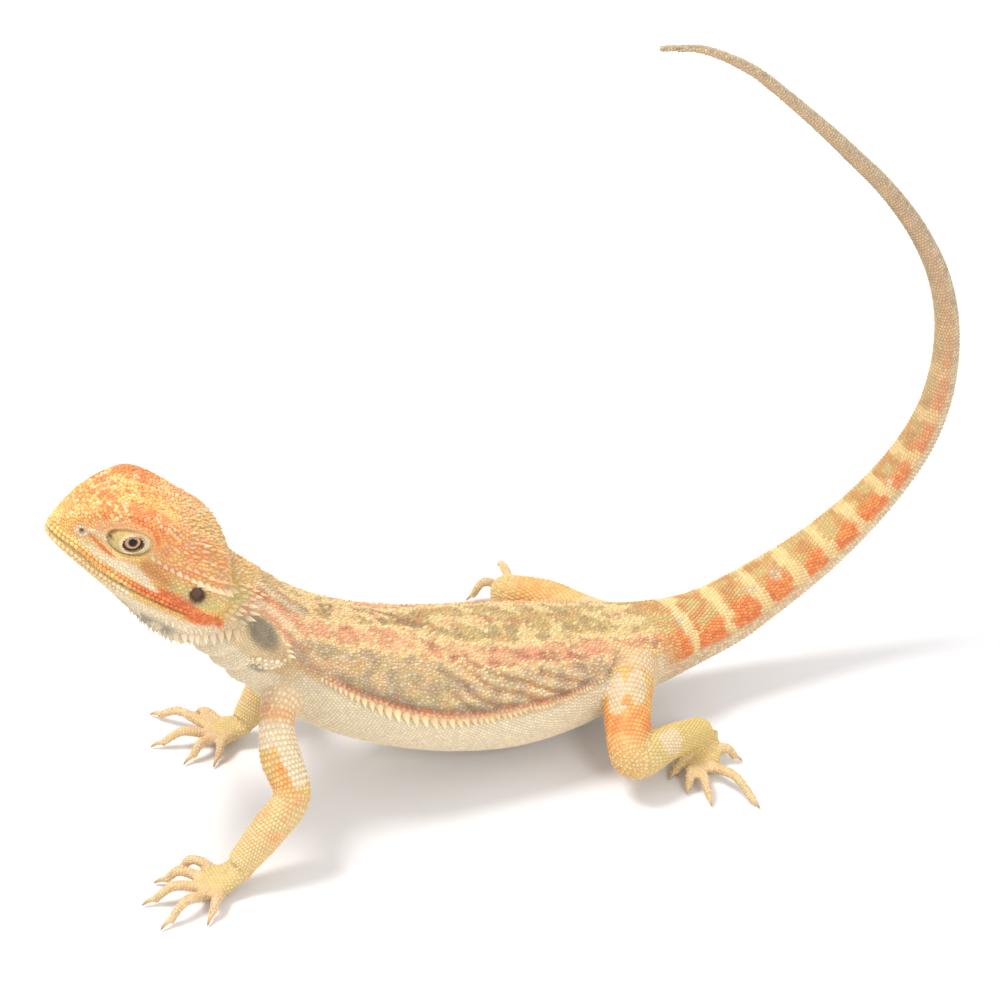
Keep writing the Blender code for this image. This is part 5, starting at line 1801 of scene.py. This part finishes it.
class Finish:
    """A material and its nodes."""

    def __init__(self, name):
        self.material = bpy.data.materials.new(name)
        self.material.use_nodes = True
        self.nodes = self.material.node_tree.nodes
        self.links = self.material.node_tree.links
        self.shader = self.nodes["Principled BSDF"]

    def put(self, socket, value):
        if isinstance(value, Value):
            value = value.socket
        if isinstance(value, bpy.types.NodeSocket):
            self.links.new(value, socket)
        elif value is not None:
            socket.default_value = value

    def node(self, kind, settings=None, *values, **named):
        """A node of this type, with its settings made first and then its sockets' values or links."""
        node = self.nodes.new(kind)
        for key, value in (settings or {}).items():
            setattr(node, key, value)
        for socket, value in zip(node.inputs, values):
            self.put(socket, value)
        for key, value in named.items():
            self.put(node.inputs[key.replace("_", " ")], value)
        return node

    def stops(self, value, stops):
        """A colour ramp read at the value: stops are (position, colour)."""
        node = self.node("ShaderNodeValToRGB", None, value)
        while len(node.color_ramp.elements) < len(stops):
            node.color_ramp.elements.new(0.5)
        for element, (position, colour) in zip(node.color_ramp.elements, stops):
            element.position, element.color = position, (*colour, 1)
        return node.outputs[0]

    def channels(self, name):
        """The three numbers of a corner attribute."""
        attribute = self.node("ShaderNodeAttribute", {"attribute_name": name})
        split = self.node("ShaderNodeSeparateXYZ", None, attribute.outputs["Vector"])
        return [Value(self, output) for output in split.outputs]

    def place(self):
        return self.node("ShaderNodeTexCoord").outputs["Object"]

    def noise(self, size, detail=2.0):
        """Soft random values that change over the given millimetres."""
        node = self.node("ShaderNodeTexNoise", None, Vector=self.place(), Scale=1000 / size, Detail=detail)
        return Value(self, node.outputs["Fac"])

    def mixed(self, share, low, high, blend="MIX"):
        """Two colours mixed."""
        node = self.node("ShaderNodeMix", {"data_type": "RGBA", "blend_type": blend})
        self.put(node.inputs["Factor"], share)
        colours = [socket for socket in node.inputs if socket.type == "RGBA"]
        for socket, value in zip(colours, (low, high)):
            self.put(socket, (*value, 1) if isinstance(value, tuple) else value)
        return [socket for socket in node.outputs if socket.type == "RGBA"][0]

    def set(self, **values):
        for key, value in values.items():
            self.put(self.shader.inputs[key.replace("_", " ")], value)

    def bump(self, height, strength, distance):
        node = self.node("ShaderNodeBump", None, Strength=strength, Distance=distance, Height=height)
        self.links.new(node.outputs["Normal"], self.shader.inputs["Normal"])


def skin_finish():
    """Dry scaly skin: the markings, a painted highlight on the ridges, painted shade in the seams between
    scales, and a fine grain.
    """
    finish = Finish("scaly_skin")
    amounts = {}
    for name, colours in CHANNELS.items():
        amounts.update(zip(colours, finish.channels(name)))
    rise, tone, _ = finish.channels("grain")
    speck, soft = finish.noise(0.35), finish.noise(2.2)
    dim, bright = (tuple(share * c for c in GROUND_COLOUR) for share in (0.88, 1.12))
    colour = finish.mixed(soft, dim, bright)
    for name in LAYERS:
        colour = finish.mixed(amounts[name], colour, COLOURS[name])
    # painted shade and highlight: each scale is painted darker down into the seams round its root and a
    # little lighter at its top; tone and speck are its own colour
    painted_crevice_shade = (0.76 + 0.18 * tone + 0.10 * speck) * (0.60 + 0.46 * rise)
    shades = finish.node("ShaderNodeCombineColor", None, painted_crevice_shade, painted_crevice_shade, painted_crevice_shade)
    colour = finish.mixed(1.0, colour, shades.outputs[0], "MULTIPLY")
    finish.set(Base_Color=colour, Roughness=0.42 + 0.22 * speck, Specular_IOR_Level=0.35)
    finish.bump(speck * 0.6 + soft * 0.4, 0.35, 0.0002)
    return finish.material


def plain_finish(name, low, high, size, roughness, bump=0.2, distance=0.0001):
    """A mottled finish between two colours."""
    finish = Finish(name)
    grain = finish.noise(size, 3.0)
    finish.set(Base_Color=finish.mixed(grain, low, high), Roughness=roughness + 0.1 * grain)
    finish.bump(grain, bump, distance)
    return finish.material


# ---------------------------------------------------------------- eyes, eardrums and claws

BALL_RADIUS = EYE_RADIUS - 0.06
PUPIL_TURN = {"forward": 0.05, "up": 0.07}
PUPIL, INNER_IRIS, OUTER_IRIS, IRIS_SCALE = 0.84, 1.42, 2.25, 4.0  # radii, and the one where the colours end
CORNEA_REACH, CORNEA_RADIUS = 1.9, 2.6  # the clear bulge over the iris, rounder than the eyeball


def eye_finish():
    """Black pupil, tan gold inner ring and dark brown outer ring, wet."""
    finish = Finish("eye")
    reach = finish.channels("iris")[0]
    streak = finish.noise(0.22, 3.0)
    black, brown = (0.004, 0.003, 0.003), (0.045, 0.014, 0.009)
    colour = finish.stops(reach * (1 / IRIS_SCALE) + 0.035 * streak - 0.017, (
        (0.0, black), (PUPIL / IRIS_SCALE - 0.012, black), (PUPIL / IRIS_SCALE + 0.01, (0.26, 0.13, 0.06)),
        (0.30, (0.56, 0.33, 0.19)), (INNER_IRIS / IRIS_SCALE, (0.36, 0.18, 0.095)),
        (0.40, (0.070, 0.022, 0.012)), (OUTER_IRIS / IRIS_SCALE, brown), (1.0, (0.02, 0.01, 0.008)),
    ))
    finish.set(Base_Color=colour, Roughness=0.06, Specular_IOR_Level=0.30)
    return finish.material


def eyeball(name, side, finish):
    """A ball turned outwards, with its clear bulge over the iris."""
    way = unit(side * LEFT + PUPIL_TURN["forward"] * FORWARD + PUPIL_TURN["up"] * UP)
    bm = bmesh.new()
    bmesh.ops.create_uvsphere(bm, u_segments=48, v_segments=40, radius=BALL_RADIUS)
    reach = [math.hypot(vert.co.x, vert.co.y) if vert.co.z > 0 else IRIS_SCALE for vert in bm.verts]
    edge = math.sqrt(BALL_RADIUS ** 2 - CORNEA_REACH ** 2)
    middle = edge - math.sqrt(CORNEA_RADIUS ** 2 - CORNEA_REACH ** 2)
    for vert, away in zip(bm.verts, reach):
        if away < CORNEA_REACH:
            vert.co.z = middle + math.sqrt(CORNEA_RADIUS ** 2 - away ** 2)
    turn = Vector(way).to_track_quat("Z", "Y").to_matrix().to_4x4()
    place = Matrix.Translation(placed(EYES[side])) @ Matrix.Scale(MM, 4) @ turn
    bmesh.ops.transform(bm, matrix=place, verts=bm.verts)
    bm.normal_update()
    ball = joined(f"{name}ball", [bm], finish)
    ball.data.shade_smooth()
    add_vectors(ball.data, "iris", (reach,))
    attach(ball, "root")
    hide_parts(name)


def claw_finish():
    """Horn, amber at the root and dark at the tip."""
    finish = Finish("claw_horn")
    share, grain = finish.channels("horn")[0], finish.noise(0.5)
    colour = finish.stops(share + 0.12 * grain - 0.06, (
        (0.0, (0.66, 0.47, 0.27)), (0.35, (0.60, 0.40, 0.19)),
        (0.75, (0.47, 0.29, 0.13)), (1.0, (0.30, 0.16, 0.08)),
    ))
    finish.set(Base_Color=colour, Roughness=0.32 + 0.1 * grain)
    finish.bump(grain, 0.15, 0.00005)
    return finish.material


CLAW_STEPS = 10
CLAW_END_RADIUS = 0.09


def claw(paw, number, top, tip, finish):
    """A curved, tapered claw that starts inside the toe and comes down to its point."""
    kind = paw.split("_")[1]
    ahead = toe_ahead(top, tip)
    start = np.array(tip) - 0.5 * ahead + (0, 0, 0.28)
    end = np.array(tip) + CLAW_LENGTH[kind] * ahead
    end[2] = CLAW_TIP_HEIGHT
    bend = 0.5 * (start + end) + (0, 0, 0.75)
    t = np.linspace(0, 1, CLAW_STEPS)[:, None]
    rows = (1 - t) ** 2 * start + 2 * t * (1 - t) * bend + t * t * end
    radii = CLAW_ROOT_RADIUS[kind] * (1 - t) ** 0.65 + CLAW_END_RADIUS * t
    tube = Tube("claw", np.hstack([rows, radii]), 0.28, np.cross(ahead, (0, 0, 1)), 1.15)
    bm = tube.solid(12, 0)
    points = corners_of(bm)
    for vert, point in zip(bm.verts, in_box(placed(points))):
        vert.co = point
    piece = joined(f"{paw}_horn_{number}", [bm], finish)
    piece.data.shade_smooth()
    add_vectors(piece.data, "horn", (tube.locate(points)[0] / tube.length,))
    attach(piece, "root")
    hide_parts(f"{paw}_claw_{number}")


def make_organs():
    """The eyes, the eardrums' own finish and the claws."""
    wet, horn = eye_finish(), claw_finish()
    eyeball("left_eye", 1, wet)
    eyeball("right_eye", -1, wet)
    drum = plain_finish("eardrum_skin", (0.10, 0.045, 0.035), (0.17, 0.085, 0.06), 0.8, 0.45)
    for name in ("left_eardrum", "right_eardrum"):
        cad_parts[name].data.materials.clear()
        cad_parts[name].data.materials.append(drum)
    for paw, (_, _, *digits) in FEET.items():
        for number, (_, top, tip) in enumerate(digits, 1):
            claw(paw, number, top, tip, horn)


# ---------------------------------------------------------------- stage

CAMERA_PLACE = (-161.9, -445.4, 360.3)
CAMERA_AZIMUTH, CAMERA_ELEVATION = math.radians(-22), math.radians(32)
CAMERA_LENS = 100.465
WORLD_STRENGTH = 0.90
LIGHTS = (  # name, place, aim, size, power, colour
    ("key", (-0.38, 0.21, 0.93), (0, 0, 0.03), 0.38, 8.0, (1.0, 0.985, 0.965)),
    ("front", (0.02, -0.86, 0.64), (-0.03, 0, 0.04), 0.28, 3.0, (1, 1, 1)),
    ("glint", (0.19, -0.75, 0.15), (-0.08, 0, 0.09), 0.07, 0.5, (1, 1, 1)),
)


def make_camera():
    data = bpy.data.cameras.new("camera")
    data.lens, data.sensor_width = CAMERA_LENS, 36
    data.clip_start = 0.01
    camera = bpy.data.objects.new("camera", data)
    ahead = Vector((
        -math.sin(CAMERA_AZIMUTH) * math.cos(CAMERA_ELEVATION),
        math.cos(CAMERA_AZIMUTH) * math.cos(CAMERA_ELEVATION),
        -math.sin(CAMERA_ELEVATION),
    ))
    camera.rotation_euler = ahead.to_track_quat("-Z", "Y").to_euler()
    camera.location = placed(CAMERA_PLACE)
    bpy.context.scene.collection.objects.link(camera)
    bpy.context.scene.camera = camera


def area_light(name, place, aim, size, power, colour):
    data = bpy.data.lights.new(name, "AREA")
    data.shape, data.size, data.energy, data.color = "DISK", size, power, colour
    light = bpy.data.objects.new(name, data)
    light.location = place
    light.rotation_euler = (Vector(aim) - Vector(place)).to_track_quat("-Z", "Y").to_euler()
    light.visible_camera = False
    bpy.context.scene.collection.objects.link(light)


def make_stage():
    """A plain pale floor, and soft light from above, a little from the left and behind."""
    bm = bmesh.new()
    bmesh.ops.create_circle(bm, cap_ends=True, radius=2.5, segments=64)
    paper = plain_finish("floor_paper", (0.78, 0.77, 0.775), (0.81, 0.80, 0.805), 60, 0.75, 0.05, 0.0002)
    floor = joined("floor", [bm], paper)
    world = bpy.data.worlds.new("world")
    world.use_nodes = True
    world.node_tree.nodes["Background"].inputs["Color"].default_value = (0.985, 0.99, 1.0, 1)
    world.node_tree.nodes["Background"].inputs["Strength"].default_value = WORLD_STRENGTH
    bpy.context.scene.world = world
    for light in LIGHTS:
        area_light(*light)
    bpy.context.scene.view_settings.view_transform = "Standard"


# ---------------------------------------------------------------- the whole animal


def flesh_nodes():
    """The CAD nodes that the one skin stands for."""
    return [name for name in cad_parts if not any(part in name for part in ("_eye", "eardrum", "claw"))]


def make_animal():
    skin = skin_object()
    surface = Surface(skin)
    coat, places = lay_coat(surface)
    finish = skin_finish()
    tone = places.noise(1.0, 30)
    # the bare skin is painted as if at a quarter of a scale's height, so it takes the painted shade of the
    # seams between scales
    paint(skin.data, markings(places), np.full(len(tone), 0.25), tone)
    skin.data.transform(Matrix.Translation(Vector(SHIFT) * MM))
    skin.data.materials.clear()
    skin.data.materials.append(finish)
    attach(skin, "root")
    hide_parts(*flesh_nodes())
    coat_pieces(coat, finish)
    make_organs()


make_animal()
make_camera()
make_stage()
